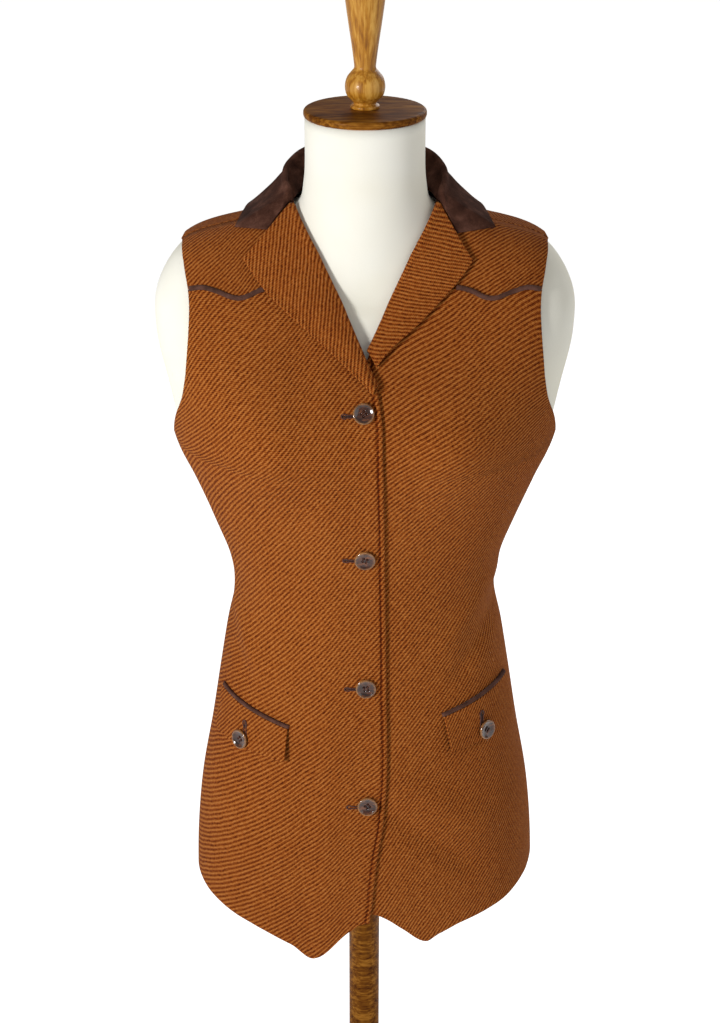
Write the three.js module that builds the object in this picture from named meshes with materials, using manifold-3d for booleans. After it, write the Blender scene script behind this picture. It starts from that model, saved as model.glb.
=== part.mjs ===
import * as THREE from 'three';
import { mergeVertices } from 'three/addons/utils/BufferGeometryUtils.js';
import Module from 'manifold-3d';

// A western vest on a limbless dress form. Millimetres, +Z up, the front faces -Y.
// The origin is the middle of the round base's underside. "Right" and "left" are the wearer's.

const cloth = {
  wall: 2.0, // coating-weight twill with its backing
  seamGap: 0.3,
  facetGap: 0.7, // room under what lies on a faceted panel
  lapLift: 3.4, // the right front passes over the left one by this much
};
const height = {
  floorBase: 20, // top of the round base
  hem: 365, // about; the hem tables below give it along each piece
  formUnder: 396,
  underarm: 815,
  yokeSeam: 957.5,
  shoulderTip: 987,
  neckPoint: 1018,
  neckBack: 1031, // the neckline at the middle of the back
  neckTop: 1092.6,
  capTop: 1100,
};

// The shape over which the cloth is cut: rings from hem to neck. front, side and back are the ring's
// heights there, halfWidth, forward and rearward its reach, power its squareness, ease the room to the form.
const ringColumns = ['front', 'side', 'back', 'halfWidth', 'forward', 'rearward', 'power', 'ease'];
const ringTable = [
  [285, 285, 285, 161, 118, 122, 2.2, 9],
  [340, 340, 340, 161, 118, 123, 2.2, 9],
  [400, 400, 400, 159, 116, 122, 2.2, 8],
  [460, 460, 460, 153, 112, 118, 2.2, 7],
  [520, 520, 520, 142, 107, 111, 2.2, 6],
  [575, 575, 575, 133, 103, 104, 2.2, 6],
  [622, 622, 622, 125, 101, 98, 2.2, 6],
  [662, 662, 662, 117, 100, 94, 2.2, 6],
  [700, 700, 700, 121, 101, 96, 2.2, 6],
  [740, 740, 740, 135, 105, 101, 2.2, 6],
  [780, 780, 780, 151, 111, 108, 2.2, 6],
  [818, 815, 815, 166, 116, 113, 2.2, 5],
  [848, 865, 860, 176, 115, 117, 2.25, 4.2],
  [872, 912, 905, 184, 106, 114, 2.3, 3.4],
  [895, 952, 945, 180, 93, 106, 2.35, 2.6],
  [917, 988, 983, 154, 79, 92, 2.35, 2.6],
  [938, 1005, 1012, 106, 66, 73, 2.25, 2.4],
  [958, 1018, 1032, 63, 55, 52, 2.1, 2.4],
  [1005, 1040, 1050, 53, 51, 50, 2.0, 1.4],
  [1082, 1082, 1082, 50.5, 50.5, 50.5, 2.0, 0.0],
];
const bust = { out: 15, x: 82, z: 838, halfWidth: 46, halfHeight: 50 };

// Soft ridges (lift over 0) and hollows (under 0) of the hanging cloth, each along a line on one face.
const foldColumns = ['face', 'x0', 'z0', 'x1', 'z1', 'spread', 'lift'];
const foldTable = [
  [-1, -124, 668, -99, 618, 9, 2.4],
  [-1, -119, 640, -108, 600, 9, -2.6],
  [-1, 122, 664, 86, 612, 10, -2.8],
  [-1, 112, 690, 70, 640, 10, 1.8],
  [-1, 14, 486, 96, 418, 11, -3.0],
  [-1, 22, 520, 110, 452, 14, 2.2],
  [-1, -40, 452, -110, 420, 16, 1.6],
  [1, -104, 668, -60, 640, 11, -2.6],
  [1, 98, 676, 52, 650, 11, -2.4],
  [1, -84, 706, -30, 690, 13, 1.9],
  [1, 90, 640, 40, 612, 13, 1.8],
];

// Edges read as (x, z) on the front: x is the distance from the middle, towards each piece's own side.
const hemRight = [[-6, 368], [12, 359], [46, 324.5], [68, 335.5],
  [100, 346.5], [123, 352], [147, 358], [161, 362]];
const hemLeft = [[-20, 378], [6, 375], [16, 371.5], [34, 358.5], [56, 341.5], [68, 347], [87, 354.5],
  [113, 359.5], [133, 363.5], [154, 372], [161, 376]];
const hemBack = [[-161, 362], [-100, 362], [0, 365], [100, 368], [161, 376]]; // x is signed here
// The lapping front's edge runs past the middle; x here is towards the wearer's left.
const rightFrontEdge = [[371, 5], [384, 7], [434, 11.5], [474, 17.5], [535, 20], [595, 19],
  [815, 16], [858, 15], [873, 13], [884, 11]];
const leftFrontReach = 17; // the under front ends this far past the middle
const lapFade = { x: 62, across: 36, z: 965, up: 45 }; // the lap's rise is gone at x and z, over these lengths
const rollLine = [[884, -11], [985, 41], [1018, 61]]; // z, x; straight between rows
const armholeFront = [[815, 166], [826, 165], [846, 161.5], [868, 154.5], [890, 150.5],
  [932, 147.2], [954, 147.5], [976, 152], [987, 154.5]]; // z, x
const armholeBack = [[815, 166], [830, 165], [855, 158], [885, 151], [925, 148], [960, 151], [983, 154.5]];
const yokeSeam = [[24, 957], [60, 960], [78, 961], [89, 958.5], [100, 954],
  [109, 953.6], [122, 957.5], [135, 960], [149, 957.5]]; // x, z

const lapel = {
  // u runs up the roll line; outer is the free edge, as (z, x), from the break to the point
  outerRight: [[884.5, -5.5], [896, 7.5], [924, 43.3], [957, 79], [984, 100]],
  outerLeft: [[902, 9.5], [915, 22], [935, 46.6], [965, 75.8], [982, 90]],
  rise: 3.3, // the free edge's underside above the shape
  swell: 1.6, // how far the middle stands up near the roll
};
const piping = { width: 3.6, height: 2.2, overFlap: 2.8 }; // overFlap: its height along a flap's top
const flap = {
  right: { topInner: [68, 560.5], topOuter: [127, 573.6], bottomInner: [69.5, 529], bottomOuter: [134, 530] },
  left: { topInner: [69.5, 572], topOuter: [126, 585.5], bottomInner: [75.5, 537], bottomOuter: [133, 540] },
  lift: 0.7,
  kick: 0.9, // how much further the lower edge stands off
};
const button = {
  radius: 9, thickness: 3.2, rim: 1.9, dish: 1.0, holeRadius: 0.9, holeSpacing: 3.0, segments: 14, seat: 0.7,
};
const frontButtons = [[-1.5, 869], [0, 737.5], [1, 609], [2.5, 491]]; // x, z
const flapButtons = { right: [-109, 537.5], left: [106.5, 548] };

const collar = {
  wall: 2.0,
  notchX: { right: 81, left: 76 }, // where the collar's end leaves the lapel's top edge
  columns: ['seamX', 'seamZ', 'foldX', 'foldY', 'foldZ', 'edgeX', 'edgeZ', 'face', 'stand'],
  // A station for each row, from the collar's point to the middle of the back.
  rows: [
    [61, 1018.8, 64.5, -9, 1026, 107.5, 998, -1, 6.5],
    [63, 1019.8, 68.5, 7, 1037, 106.5, 1004.4, 1, 7.5],
    [60, 1023, 66.5, 27, 1045, 101, 1008, 1, 6],
    [47, 1028, 54, 47, 1052, 80, 1010, 1, 5],
    [26, 1031.8, 30, 62, 1056.5, 44, 1007, 1, 5],
    [0, 1032.4, 0, 67, 1058, 0, 1005, 1, 5],
  ],
};
const stand = {
  baseRadius: 155, baseEdge: 6, postRadius: 15, collarRadius: 34, collarHeight: 12,
};
const cap = { radius: 51.5, thickness: 7, edge: 2.6 };
const finial = [
  [12, 0], [12, 2], [9.5, 4], [11, 6], [15.4, 11], [16.8, 18], [15.2, 25], [11.5, 30], [9.2, 33], [9.4, 38],
  [11.2, 52], [13.6, 68], [15.6, 82], [17, 93], [17.6, 100], [16.4, 106], [12, 111], [6, 113.6],
]; // radius, height above the cap
const finialTop = 114.4;

const colours = {
  twill: 0x8f5420, suede: 0x3c2622, piping: 0x4a302c, horn: 0x4a2a1e, jersey: 0xf1ecd8,
  walnut: 0x4a2413, beech: 0xa8692e,
};
const quarter = Math.PI / 2;
const group = new THREE.Group();

// Small helpers
const clamp = (value, low, high) => Math.min(high, Math.max(low, value));
const mix = (a, b, k) => a + (b - a) * k;
const softStep = (k) => { const c = clamp(k, 0, 1); return c * c * (3 - 2 * c); };
const steps = (count, low = 0, high = 1) => (
  Array.from({ length: count + 1 }, (_, i) => mix(low, high, i / count)));

// A smooth curve through a table's rows (Catmull-Rom), read at a fractional row number.
function rowAt(table, place) {
  const last = table.length - 1;
  const t = clamp(place, 0, last);
  const i = Math.min(Math.floor(t), last - 1);
  const f = t - i;
  const [a, b, c, d] = [-1, 0, 1, 2].map((k) => table[clamp(i + k, 0, last)]);
  return b.map((_, n) => 0.5 * (2 * b[n] + (c[n] - a[n]) * f
    + (2 * a[n] - 5 * b[n] + 4 * c[n] - d[n]) * f * f + (3 * b[n] - a[n] - 3 * c[n] + d[n]) * f ** 3));
}

// The second column of a two-column table, eased between the rows on either side of the first column's value.
function lookUp(table, value) {
  const last = table.length - 1;
  let i = 0;
  while (i < last - 1 && value > table[i + 1][0]) i += 1;
  const f = clamp((value - table[i][0]) / (table[i + 1][0] - table[i][0]), 0, 1);
  return rowAt(table, i + f)[1];
}

// The same with straight stretches between the rows.
function straight(table, value) {
  let i = 0;
  while (i < table.length - 2 && value > table[i + 1][0]) i += 1;
  const [a, b] = [table[i], table[i + 1]];
  return mix(a[1], b[1], (value - a[0]) / (b[0] - a[0]));
}

// A point of the shape. angle runs from the middle of the front (0) to the wearer's left (a quarter turn).
function shapePoint(angle, level) {
  const [front, side, back, halfWidth, forward, rearward, squareness] = rowAt(ringTable, level);
  const s = Math.sin(angle);
  const c = Math.cos(angle);
  const power = 2 / squareness;
  const reach = c >= 0 ? forward : rearward;
  const end = c >= 0 ? front : back;
  const x = halfWidth * Math.sign(s) * Math.abs(s) ** power;
  const z = side + (end - side) * c * c;
  const cup = bust.out * softStep(c / 0.6)
    * Math.exp(-(((Math.abs(x) - bust.x) / bust.halfWidth) ** 2) - ((z - bust.z) / bust.halfHeight) ** 2);
  return new THREE.Vector3(x, -reach * Math.sign(c) * Math.abs(c) ** power - cup, z);
}

// The ring whose surface passes through height z at this angle, by halving.
function levelAt(angle, z) {
  let low = 0;
  let high = ringTable.length - 1;
  for (let i = 0; i < 19; i += 1) {
    const middle = (low + high) / 2;
    if (shapePoint(angle, middle).z < z) low = middle; else high = middle;
  }
  return (low + high) / 2;
}

// The angle at which the surface at height z lies x from the middle, on the front (face -1) or back (face 1).
function angleAt(x, z, face = -1) {
  let low = 0;
  let high = quarter;
  for (let i = 0; i < 17; i += 1) {
    const middle = (low + high) / 2;
    const angle = face < 0 ? middle : Math.PI - middle;
    if (shapePoint(angle, levelAt(angle, z)).x < Math.abs(x)) low = middle; else high = middle;
  }
  const found = (low + high) / 2;
  return (face < 0 ? found : Math.PI - found) * (x < 0 ? -1 : 1);
}

function foldLift(point) {
  let sum = 0;
  for (const row of foldTable) {
    const fold = Object.fromEntries(foldColumns.map((name, n) => [name, row[n]]));
    if (point.y * fold.face <= 0) continue;
    const dx = fold.x1 - fold.x0;
    const dz = fold.z1 - fold.z0;
    const k = clamp(((point.x - fold.x0) * dx + (point.z - fold.z0) * dz) / (dx * dx + dz * dz), 0, 1);
    const away = Math.hypot(point.x - fold.x0 - dx * k, point.z - fold.z0 - dz * k) / fold.spread;
    sum += fold.lift * Math.exp(-away * away);
  }
  return sum * softStep(Math.abs(point.y) / 30);
}

const normalStep = { angle: 0.004, height: 1 };
function shapeNormal(angle, z) {
  const at = (a, h) => shapePoint(a, levelAt(a, h));
  const across = at(angle + normalStep.angle, z).sub(at(angle - normalStep.angle, z));
  const up = at(angle, z + normalStep.height).sub(at(angle, z - normalStep.height));
  return across.cross(up).normalize();
}

// A point on the hanging cloth, moved out from the shape along its normal.
function clothPoint(angle, z, out) {
  const point = shapePoint(angle, levelAt(angle, z));
  return point.addScaledVector(shapeNormal(angle, z), out + foldLift(point));
}

// How far the inner face of a front stands off the shape: the right front rises where it laps over the left.
function frontRise(side, x, z) {
  if (side > 0) return 0;
  const own = x * side;
  return cloth.lapLift * softStep((lapFade.x - own) / lapFade.across) * softStep((lapFade.z - z) / lapFade.up);
}

// Builds a closed body from a grid of [inner, outer] point pairs.
function shell(rows) {
  const tall = rows.length;
  const wide = rows[0].length;
  const positions = [];
  for (const face of [0, 1]) {
    rows.forEach((row) => row.forEach((pair) => positions.push(...pair[face].toArray())));
  }
  const inner = (j, i) => j * wide + i;
  const outer = (j, i) => tall * wide + j * wide + i;
  const index = [];
  const quad = (a, b, c, d) => index.push(a, b, c, a, c, d);
  for (let j = 0; j < tall - 1; j += 1) {
    for (let i = 0; i < wide - 1; i += 1) {
      quad(outer(j, i), outer(j, i + 1), outer(j + 1, i + 1), outer(j + 1, i));
      quad(inner(j, i), inner(j + 1, i), inner(j + 1, i + 1), inner(j, i + 1));
    }
    quad(inner(j, 0), outer(j, 0), outer(j + 1, 0), inner(j + 1, 0));
    quad(inner(j, wide - 1), inner(j + 1, wide - 1), outer(j + 1, wide - 1), outer(j, wide - 1));
  }
  for (let i = 0; i < wide - 1; i += 1) {
    quad(inner(0, i), inner(0, i + 1), outer(0, i + 1), outer(0, i));
    quad(inner(tall - 1, i), outer(tall - 1, i), outer(tall - 1, i + 1), inner(tall - 1, i + 1));
  }
  return closedBody(positions, index);
}

// Indexed triangles with their faces turned outwards.
function closedBody(positions, index) {
  const at = (n) => new THREE.Vector3().fromArray(positions, 3 * n);
  let volume = 0;
  for (let n = 0; n < index.length; n += 3) {
    volume += at(index[n]).dot(at(index[n + 1]).cross(at(index[n + 2])));
  }
  for (let n = 0; volume < 0 && n < index.length; n += 3) [index[n], index[n + 1]] = [index[n + 1], index[n]];
  const geometry = new THREE.BufferGeometry();
  geometry.setAttribute('position', new THREE.Float32BufferAttribute(positions, 3));
  geometry.setIndex(index);
  return geometry;
}

// Gives a grid of middle points a wall, half its thickness to each side.
function thicken(middle, thickness) {
  return shell(middle.map((row, j) => row.map((point, i) => {
    const across = row[Math.min(i + 1, row.length - 1)].clone().sub(row[Math.max(i - 1, 0)]);
    const up = middle[Math.min(j + 1, middle.length - 1)][i].clone().sub(middle[Math.max(j - 1, 0)][i]);
    const normal = across.cross(up).normalize().multiplyScalar(thickness / 2);
    return [point.clone().sub(normal), point.clone().add(normal)];
  })));
}

// A cloth panel over a grid of { angle, z }, with its inner face at rise(x, z) over the shape.
function panel(grid, rise = () => 0, thickness = cloth.wall) {
  return shell(grid.map((row) => row.map(({ angle, z }) => {
    const base = rise(shapePoint(angle, levelAt(angle, z)).x, z);
    return [clothPoint(angle, z, base), clothPoint(angle, z, base + thickness)];
  })));
}

// Near the shoulder's ridge the cloth lies almost level, so heights close in on it: the rise's share at step v.
const towardsRidge = (v) => v + 0.88 * v * (1 - v);

// Fills a four-sided patch between its edges (a Coons patch) in the (angle, z) plane.
// share says how far the angle (turn) and the height (rise) have gone from bottom to top at step v.
function patch(bottom, top, inner, outer, us, vs, share) {
  const [b0, b1, t0, t1] = [bottom(0), bottom(1), top(0), top(1)];
  const blend = (key, u, v, w) => mix(bottom(u)[key], top(u)[key], w) + mix(inner(v)[key], outer(v)[key], u)
    - mix(mix(b0[key], b1[key], u), mix(t0[key], t1[key], u), w);
  return vs.map((v) => us.map((u) => (
    { angle: blend('angle', u, v, share.turn(v)), z: blend('z', u, v, share.rise(v)) })));
}

function add(name, geometry, colour, roughness) {
  const material = new THREE.MeshStandardMaterial({ color: colour, roughness, metalness: 0 });
  const mesh = new THREE.Mesh(geometry, material);
  mesh.name = name;
  group.add(mesh);
  return mesh;
}

// The side and shoulder seams lie at a quarter turn; each panel stops half a seam gap short of it.
const halfGap = cloth.seamGap / 2;
const seamTurn = (halfGap / 100) ** 1.1;
const frontSeam = quarter - seamTurn;

// Fronts
// The outer edge of a front at height z: side seam, then armhole.
function frontSide(z) {
  if (z <= height.underarm) return frontSeam;
  return Math.min(frontSeam, angleAt(lookUp(armholeFront, z), z));
}

// The place u across a front (0 its inner edge, 1 its outer one), at share v of the way from a lower line
// to an upper one.
function acrossFront(u, v, edgeX, lower, upper) {
  let z = mix(height.hem, height.yokeSeam, v);
  let angle = 0;
  for (let k = 0; k < 4; k += 1) {
    angle = mix(angleAt(edgeX(z), z), frontSide(z), u);
    const own = shapePoint(angle, levelAt(angle, z)).x;
    z = mix(lower(own), upper(own), v);
  }
  return { angle, z };
}
const frontColumns = steps(12);
const seamAbove = (own) => lookUp(yokeSeam, own) + halfGap;
const seamBelow = (own) => lookUp(yokeSeam, own) - halfGap;

function frontPanel(side, hem, edgeX) {
  const sideHem = hem[hem.length - 1][1];
  const corner = (height.underarm - sideHem) / (height.yokeSeam - sideHem);
  const vs = [...steps(13, 0, corner), ...steps(10, corner, 1).slice(1)];
  const grid = vs.map((v) => frontColumns.map((u) => {
    const { angle, z } = acrossFront(u, v, edgeX, (own) => lookUp(hem, own), seamBelow);
    return { angle: angle * side, z };
  }));
  return panel(grid, (x, z) => frontRise(side, x, z));
}

const rollX = (z) => straight(rollLine, z);
const [[breakZ]] = rollLine;
const rightEdge = (z) => (z < breakZ ? -lookUp(rightFrontEdge, z) : rollX(z));
const leftEdge = (z) => (z < 907 ? mix(-leftFrontReach, 1, softStep((z - 862) / 45)) : rollX(z));
add('front_right', frontPanel(-1, hemRight, rightEdge), colours.twill, 0.85);
add('front_left', frontPanel(1, hemLeft, leftEdge), colours.twill, 0.85);

// Front yokes, from the piped seam to the shoulder seam
for (const [name, side] of [['yoke_right', -1], ['yoke_left', 1]]) {
  const seamStart = acrossFront(0, 1, rollX, seamAbove, seamAbove).z;
  const seamEnd = acrossFront(1, 1, rollX, seamAbove, seamAbove).z;
  const topShare = 0.98; // the last stretch of an edge that ends in the shoulder seam itself
  const grid = patch(
    (u) => acrossFront(u, 1, rollX, seamAbove, seamAbove),
    (u) => ({ angle: frontSeam, z: mix(height.neckPoint, height.shoulderTip, u) }),
    (v) => {
      const z = mix(seamStart, height.neckPoint, towardsRidge(v));
      return { angle: v > topShare ? frontSeam : angleAt(rollX(z), z), z };
    },
    (v) => {
      const z = mix(seamEnd, height.shoulderTip, towardsRidge(v));
      return { angle: v > topShare ? frontSeam : angleAt(lookUp(armholeFront, z), z), z };
    },
    frontColumns,
    steps(6),
    { turn: (v) => v, rise: towardsRidge },
  );
  const turned = grid.map((row) => row.map(({ angle, z }) => ({ angle: angle * side, z })));
  add(name, panel(turned, (x, z) => frontRise(side, x, z)), colours.twill, 0.85);
}

// Back, in one piece
function backPanel() {
  const tipZ = height.shoulderTip;
  const seam = quarter + seamTurn;
  const shoulderShare = 0.27;
  const corner = 0.72; // the share of the sides that the side seams take
  const above = (v) => Math.max(0, (v - corner) / (1 - corner));
  const share = {
    turn: (v) => above(v) ** 1.6,
    rise: (v) => (v < corner ? v : mix(corner, 1, towardsRidge(above(v)))),
  };
  const sideEdge = (v, hemZ) => {
    if (v <= corner) return { angle: seam, z: mix(hemZ, height.underarm, v / corner) };
    const z = mix(height.underarm, tipZ, towardsRidge(above(v)));
    return { angle: v > 0.995 ? seam : Math.max(seam, angleAt(lookUp(armholeBack, z), z, 1)), z };
  };
  const mirror = ({ angle, z }) => ({ angle: 2 * Math.PI - angle, z });
  const neckZ = (angle) => mix(height.neckPoint, height.neckBack, Math.cos(angle) ** 2);
  const topEdge = (u) => {
    if (u > 0.5) return mirror(topEdge(1 - u));
    if (u <= shoulderShare) return { angle: seam, z: mix(tipZ, height.neckPoint, u / shoulderShare) };
    const angle = mix(seam, Math.PI, (u - shoulderShare) / (0.5 - shoulderShare));
    return { angle, z: neckZ(angle) };
  };
  const bottomEdge = (u) => {
    const angle = mix(seam, 2 * Math.PI - seam, u);
    return { angle, z: lookUp(hemBack, shapePoint(angle, 1).x) };
  };
  const half = steps(4, 0, shoulderShare).concat(steps(6, shoulderShare, 0.5).slice(1));
  const us = half.concat(half.slice(0, -1).reverse().map((u) => 1 - u));
  const vs = [...steps(11, 0, corner), ...steps(10, 0, 1).slice(1).map((k) => mix(corner, 1, k ** 1.2))];
  const [rightHem, leftHem] = [hemBack[0][1], hemBack[hemBack.length - 1][1]];
  return panel(patch(
    bottomEdge, topEdge, (v) => sideEdge(v, leftHem), (v) => mirror(sideEdge(v, rightHem)), us, vs, share,
  ));
}
add('back', backPanel(), colours.twill, 0.85);

// Lapels: the wall turns round the front's roll edge and lies back over it.
// Each row is a place across the turn: shift from the roll edge, and the wall's middle over the front.
const turnProfile = [[-2.2, 0.3], [-2.7, 1.7], [-1.8, 3.4], [0.5, 4.6]];
const rollEnd = 1011;
// The middle points across a turned edge, from the roll edge at (x, z) to its free end.
function turnedRow(side, from, to, layCount) {
  const width = Math.hypot(to.x - from.x, to.z - from.z);
  const place = (shift, lift) => {
    const x = mix(from.x, to.x, shift / width) * side;
    const z = mix(from.z, to.z, shift / width);
    return clothPoint(angleAt(x, z), z, frontRise(side, x, z) + lift);
  };
  const lay = steps(layCount).slice(1).map((k) => place(
    mix(turnProfile[turnProfile.length - 1][0], width, k),
    lapel.rise + 1 + lapel.swell * Math.sin(Math.PI * Math.min(1, k * 1.15)),
  ));
  return turnProfile.map(([shift, lift]) => place(shift, lift)).concat(lay);
}
function lapelPiece(side, outer, rollStart) {
  return thicken(steps(13).map((u) => {
    const z = mix(rollStart, rollEnd, u);
    const [zOut, xOut] = rowAt(outer, u * (outer.length - 1));
    return turnedRow(side, { x: rollX(z), z }, { x: xOut, z: zOut }, 6);
  }), cloth.wall);
}
add('lapel_right', lapelPiece(-1, lapel.outerRight, 887), colours.twill, 0.85);
add('lapel_left', lapelPiece(1, lapel.outerLeft, 912), colours.twill, 0.85);

// Raised strips and pieces that lie on a front
function strip(side, path, base, profile = piping) {
  const across = [-1, -0.6, 0, 0.6, 1];
  const rows = path.map(([x, z], n) => {
    const a = path[Math.max(n - 1, 0)];
    const b = path[Math.min(n + 1, path.length - 1)];
    const length = Math.hypot(b[0] - a[0], b[1] - a[1]);
    const normal = [-(b[1] - a[1]) / length, (b[0] - a[0]) / length];
    return across.map((k) => {
      const px = (x + normal[0] * k * profile.width / 2) * side;
      const pz = z + normal[1] * k * profile.width / 2;
      const angle = angleAt(px, pz);
      const lift = profile.height * (0.35 + 0.65 * Math.sqrt(1 - 0.98 * k * k));
      const under = base + frontRise(side, px, pz);
      return [clothPoint(angle, pz, under), clothPoint(angle, pz, under + lift)];
    });
  });
  return shell(rows);
}
const onCloth = cloth.wall + cloth.facetGap;
for (const [name, side, start] of [['yoke_piping_right', -1, 84], ['yoke_piping_left', 1, 76]]) {
  const path = steps(12, start, 146.6).map((x) => [x, lookUp(yokeSeam, x)]);
  add(name, strip(side, path, onCloth), colours.piping, 0.7);
}

for (const [name, side] of [['right', -1], ['left', 1]]) {
  const cut = flap[name];
  const at = (u, v, key) => mix(
    mix(cut.bottomInner[key], cut.bottomOuter[key], u), mix(cut.topInner[key], cut.topOuter[key], u), v,
  );
  const rows = steps(4).map((v) => steps(8).map((u) => {
    const x = at(u, v, 0) * side;
    const z = at(u, v, 1);
    const base = cloth.wall + flap.lift + flap.kick * (1 - v) + frontRise(side, x, z);
    const angle = angleAt(x, z);
    return [clothPoint(angle, z, base), clothPoint(angle, z, base + cloth.wall)];
  }));
  add(`pocket_flap_${name}`, shell(rows), colours.twill, 0.85);
  const above = piping.width / 2 + cloth.seamGap;
  const path = steps(8, -0.02, 0.99).map((u) => [at(u, 1, 0), at(u, 1, 1) + above]);
  const profile = { width: piping.width, height: piping.overFlap };
  add(`flap_piping_${name}`, strip(side, path, onCloth, profile), colours.piping, 0.7);
}

// Collar: a stand that rises from the neckline and a fall that lies back over the shoulders
// The collar's end lies along the lapel's top edge, a seam gap and a little above it.
function gorgeRow(side, outer, notchX) {
  const [zOut, xOut] = outer[outer.length - 1];
  const from = { x: rollX(rollEnd), z: rollEnd };
  const length = Math.hypot(xOut - from.x, zOut - from.z);
  const away = { x: -(zOut - from.z) / length, z: (xOut - from.x) / length };
  const notchZ = mix(from.z, zOut, (notchX - from.x) / (xOut - from.x));
  const shifted = (x, z) => ({ x: x + away.x * cloth.facetGap, z: z + away.z * cloth.facetGap });
  return turnedRow(side, shifted(from.x, from.z), shifted(notchX, notchZ), 7);
}
function collarRow(values, side) {
  const row = Object.fromEntries(collar.columns.map((name, k) => [name, values[k]]));
  const on = (x, z, out) => clothPoint(angleAt(x, z, row.face) * side, z, out);
  const seam = on(row.seamX, row.seamZ, 2);
  const fold = new THREE.Vector3(row.foldX * side, row.foldY, row.foldZ);
  const edge = on(row.edgeX, row.edgeZ, row.stand);
  const outward = edge.clone().sub(seam).setZ(0).normalize();
  const upwards = (distance) => new THREE.Vector3(0, 0, distance);
  const foldAt = (across, up) => fold.clone().addScaledVector(outward, across).add(upwards(up));
  const swell = 3;
  const fall = (k) => fold.clone().lerp(edge, k).addScaledVector(outward, swell * Math.sin(Math.PI * k))
    .add(upwards(0.7 * swell * Math.sin(Math.PI * k)));
  const bend = [[-1.8, -3], [-1.5, -0.4], [0, 1], [1.9, 0]].map(([across, up]) => foldAt(across, up));
  return [seam, seam.clone().lerp(fold, 0.5), ...bend, ...[0.14, 0.35, 0.6, 0.82].map(fall), edge];
}
function collarPiece() {
  const half = (side, outer, notchX) => {
    const along = collar.rows.map((values) => collarRow(values, side));
    const stations = [gorgeRow(side, outer, notchX), ...along];
    // One station past the middle, for an even curve there
    const beyond = collarRow(collar.rows[collar.rows.length - 2], -side);
    const flat = [...stations, beyond].map((row) => row.flatMap((point) => point.toArray()));
    return steps(12, 0, stations.length - 1).map((place) => {
      const numbers = rowAt(flat, place);
      return stations[0].map((_, k) => new THREE.Vector3().fromArray(numbers, 3 * k));
    });
  };
  const right = half(-1, lapel.outerRight, collar.notchX.right);
  const left = half(1, lapel.outerLeft, collar.notchX.left);
  return thicken(right.concat(left.slice(0, -1).reverse()), collar.wall);
}
add('collar', collarPiece(), colours.suede, 0.9);

// The form: the same shape taken in by each ring's ease, with plain round shoulders and a flat underside
function formBody() {
  const around = 44;
  const [lowRing, chestRing, straightNeck] = [3, 11, 18]; // ring numbers, and the neck's straight length
  const top = levelAt(0, height.neckTop - straightNeck);
  const upper = steps(13, chestRing + 0.6, top);
  const levels = [levelAt(0, height.formUnder), ...steps(9, lowRing, chestRing), ...upper];
  const easeColumn = ringColumns.indexOf('ease');
  const positions = [];
  const index = [];
  for (const level of levels) {
    const inwards = rowAt(ringTable, level)[easeColumn];
    for (let i = 0; i < around; i += 1) {
      const angle = (2 * Math.PI * i) / around;
      const point = shapePoint(angle, level);
      positions.push(...point.addScaledVector(shapeNormal(angle, point.z), -inwards).toArray());
    }
  }
  // The neck runs straight up to the cap
  for (let i = 0; i < around; i += 1) {
    const angle = (2 * Math.PI * i) / around;
    const r = ringTable[ringTable.length - 1][3];
    positions.push(r * Math.sin(angle), -r * Math.cos(angle), height.neckTop);
  }
  const rows = levels.length + 1;
  for (let i = 0; i < around; i += 1) positions[3 * i + 2] = height.formUnder;
  for (let j = 0; j < rows - 1; j += 1) {
    for (let i = 0; i < around; i += 1) {
      const next = (i + 1) % around;
      const [a, b, c, d] = [j * around + i, j * around + next, (j + 1) * around + next, (j + 1) * around + i];
      index.push(a, b, c, a, c, d);
    }
  }
  const bottom = rows * around;
  positions.push(0, 0, height.formUnder, 0, 0, height.neckTop);
  for (let i = 0; i < around; i += 1) {
    const next = (i + 1) % around;
    index.push(bottom, next, i, bottom + 1, (rows - 1) * around + i, (rows - 1) * around + next);
  }
  return closedBody(positions, index);
}
add('form_torso', formBody(), colours.jersey, 0.8);

// Turned pieces: a profile of (radius, height) points, closed on the axis, turned about +Z
function turned(profile, segments) {
  const geometry = new THREE.LatheGeometry(profile.map(([r, z]) => new THREE.Vector2(r, z)), segments);
  geometry.rotateX(quarter);
  geometry.deleteAttribute('normal');
  geometry.deleteAttribute('uv');
  const merged = mergeVertices(geometry, 1e-4);
  return closedBody(Array.from(merged.attributes.position.array), Array.from(merged.index.array));
}
function disc(radius, thickness, edge) {
  const round = steps(3).map((k) => k * quarter);
  const lower = round.map((a) => [radius - edge + edge * Math.sin(a), edge - edge * Math.cos(a)]);
  const upper = round.map((a) => [radius - edge + edge * Math.cos(a), thickness - edge + edge * Math.sin(a)]);
  return [[0, 0], ...lower, ...upper, [0, thickness]];
}
add('stand_base', turned(disc(stand.baseRadius, height.floorBase, stand.baseEdge), 36), colours.walnut, 0.35);
const postLength = height.formUnder - height.floorBase - 2 * cloth.seamGap;
const collarStart = postLength - stand.collarHeight;
add('stand_post', turned([
  [0, 0], [30, 0], [30, 5], [26, 9], [stand.postRadius, 16], [stand.postRadius, collarStart - 8],
  [stand.collarRadius - 6, collarStart], [stand.collarRadius, collarStart + 3],
  [stand.collarRadius, postLength], [0, postLength],
], 24), colours.walnut, 0.35).position.z = height.floorBase + cloth.seamGap;
add('neck_cap', turned(disc(cap.radius, cap.thickness, cap.edge), 30), colours.walnut, 0.25)
  .position.z = height.capTop - cap.thickness;
add('finial', turned([[0, 0], ...finial, [0, finialTop]], 18), colours.beech, 0.35)
  .position.z = height.capTop + cloth.seamGap;

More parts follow.
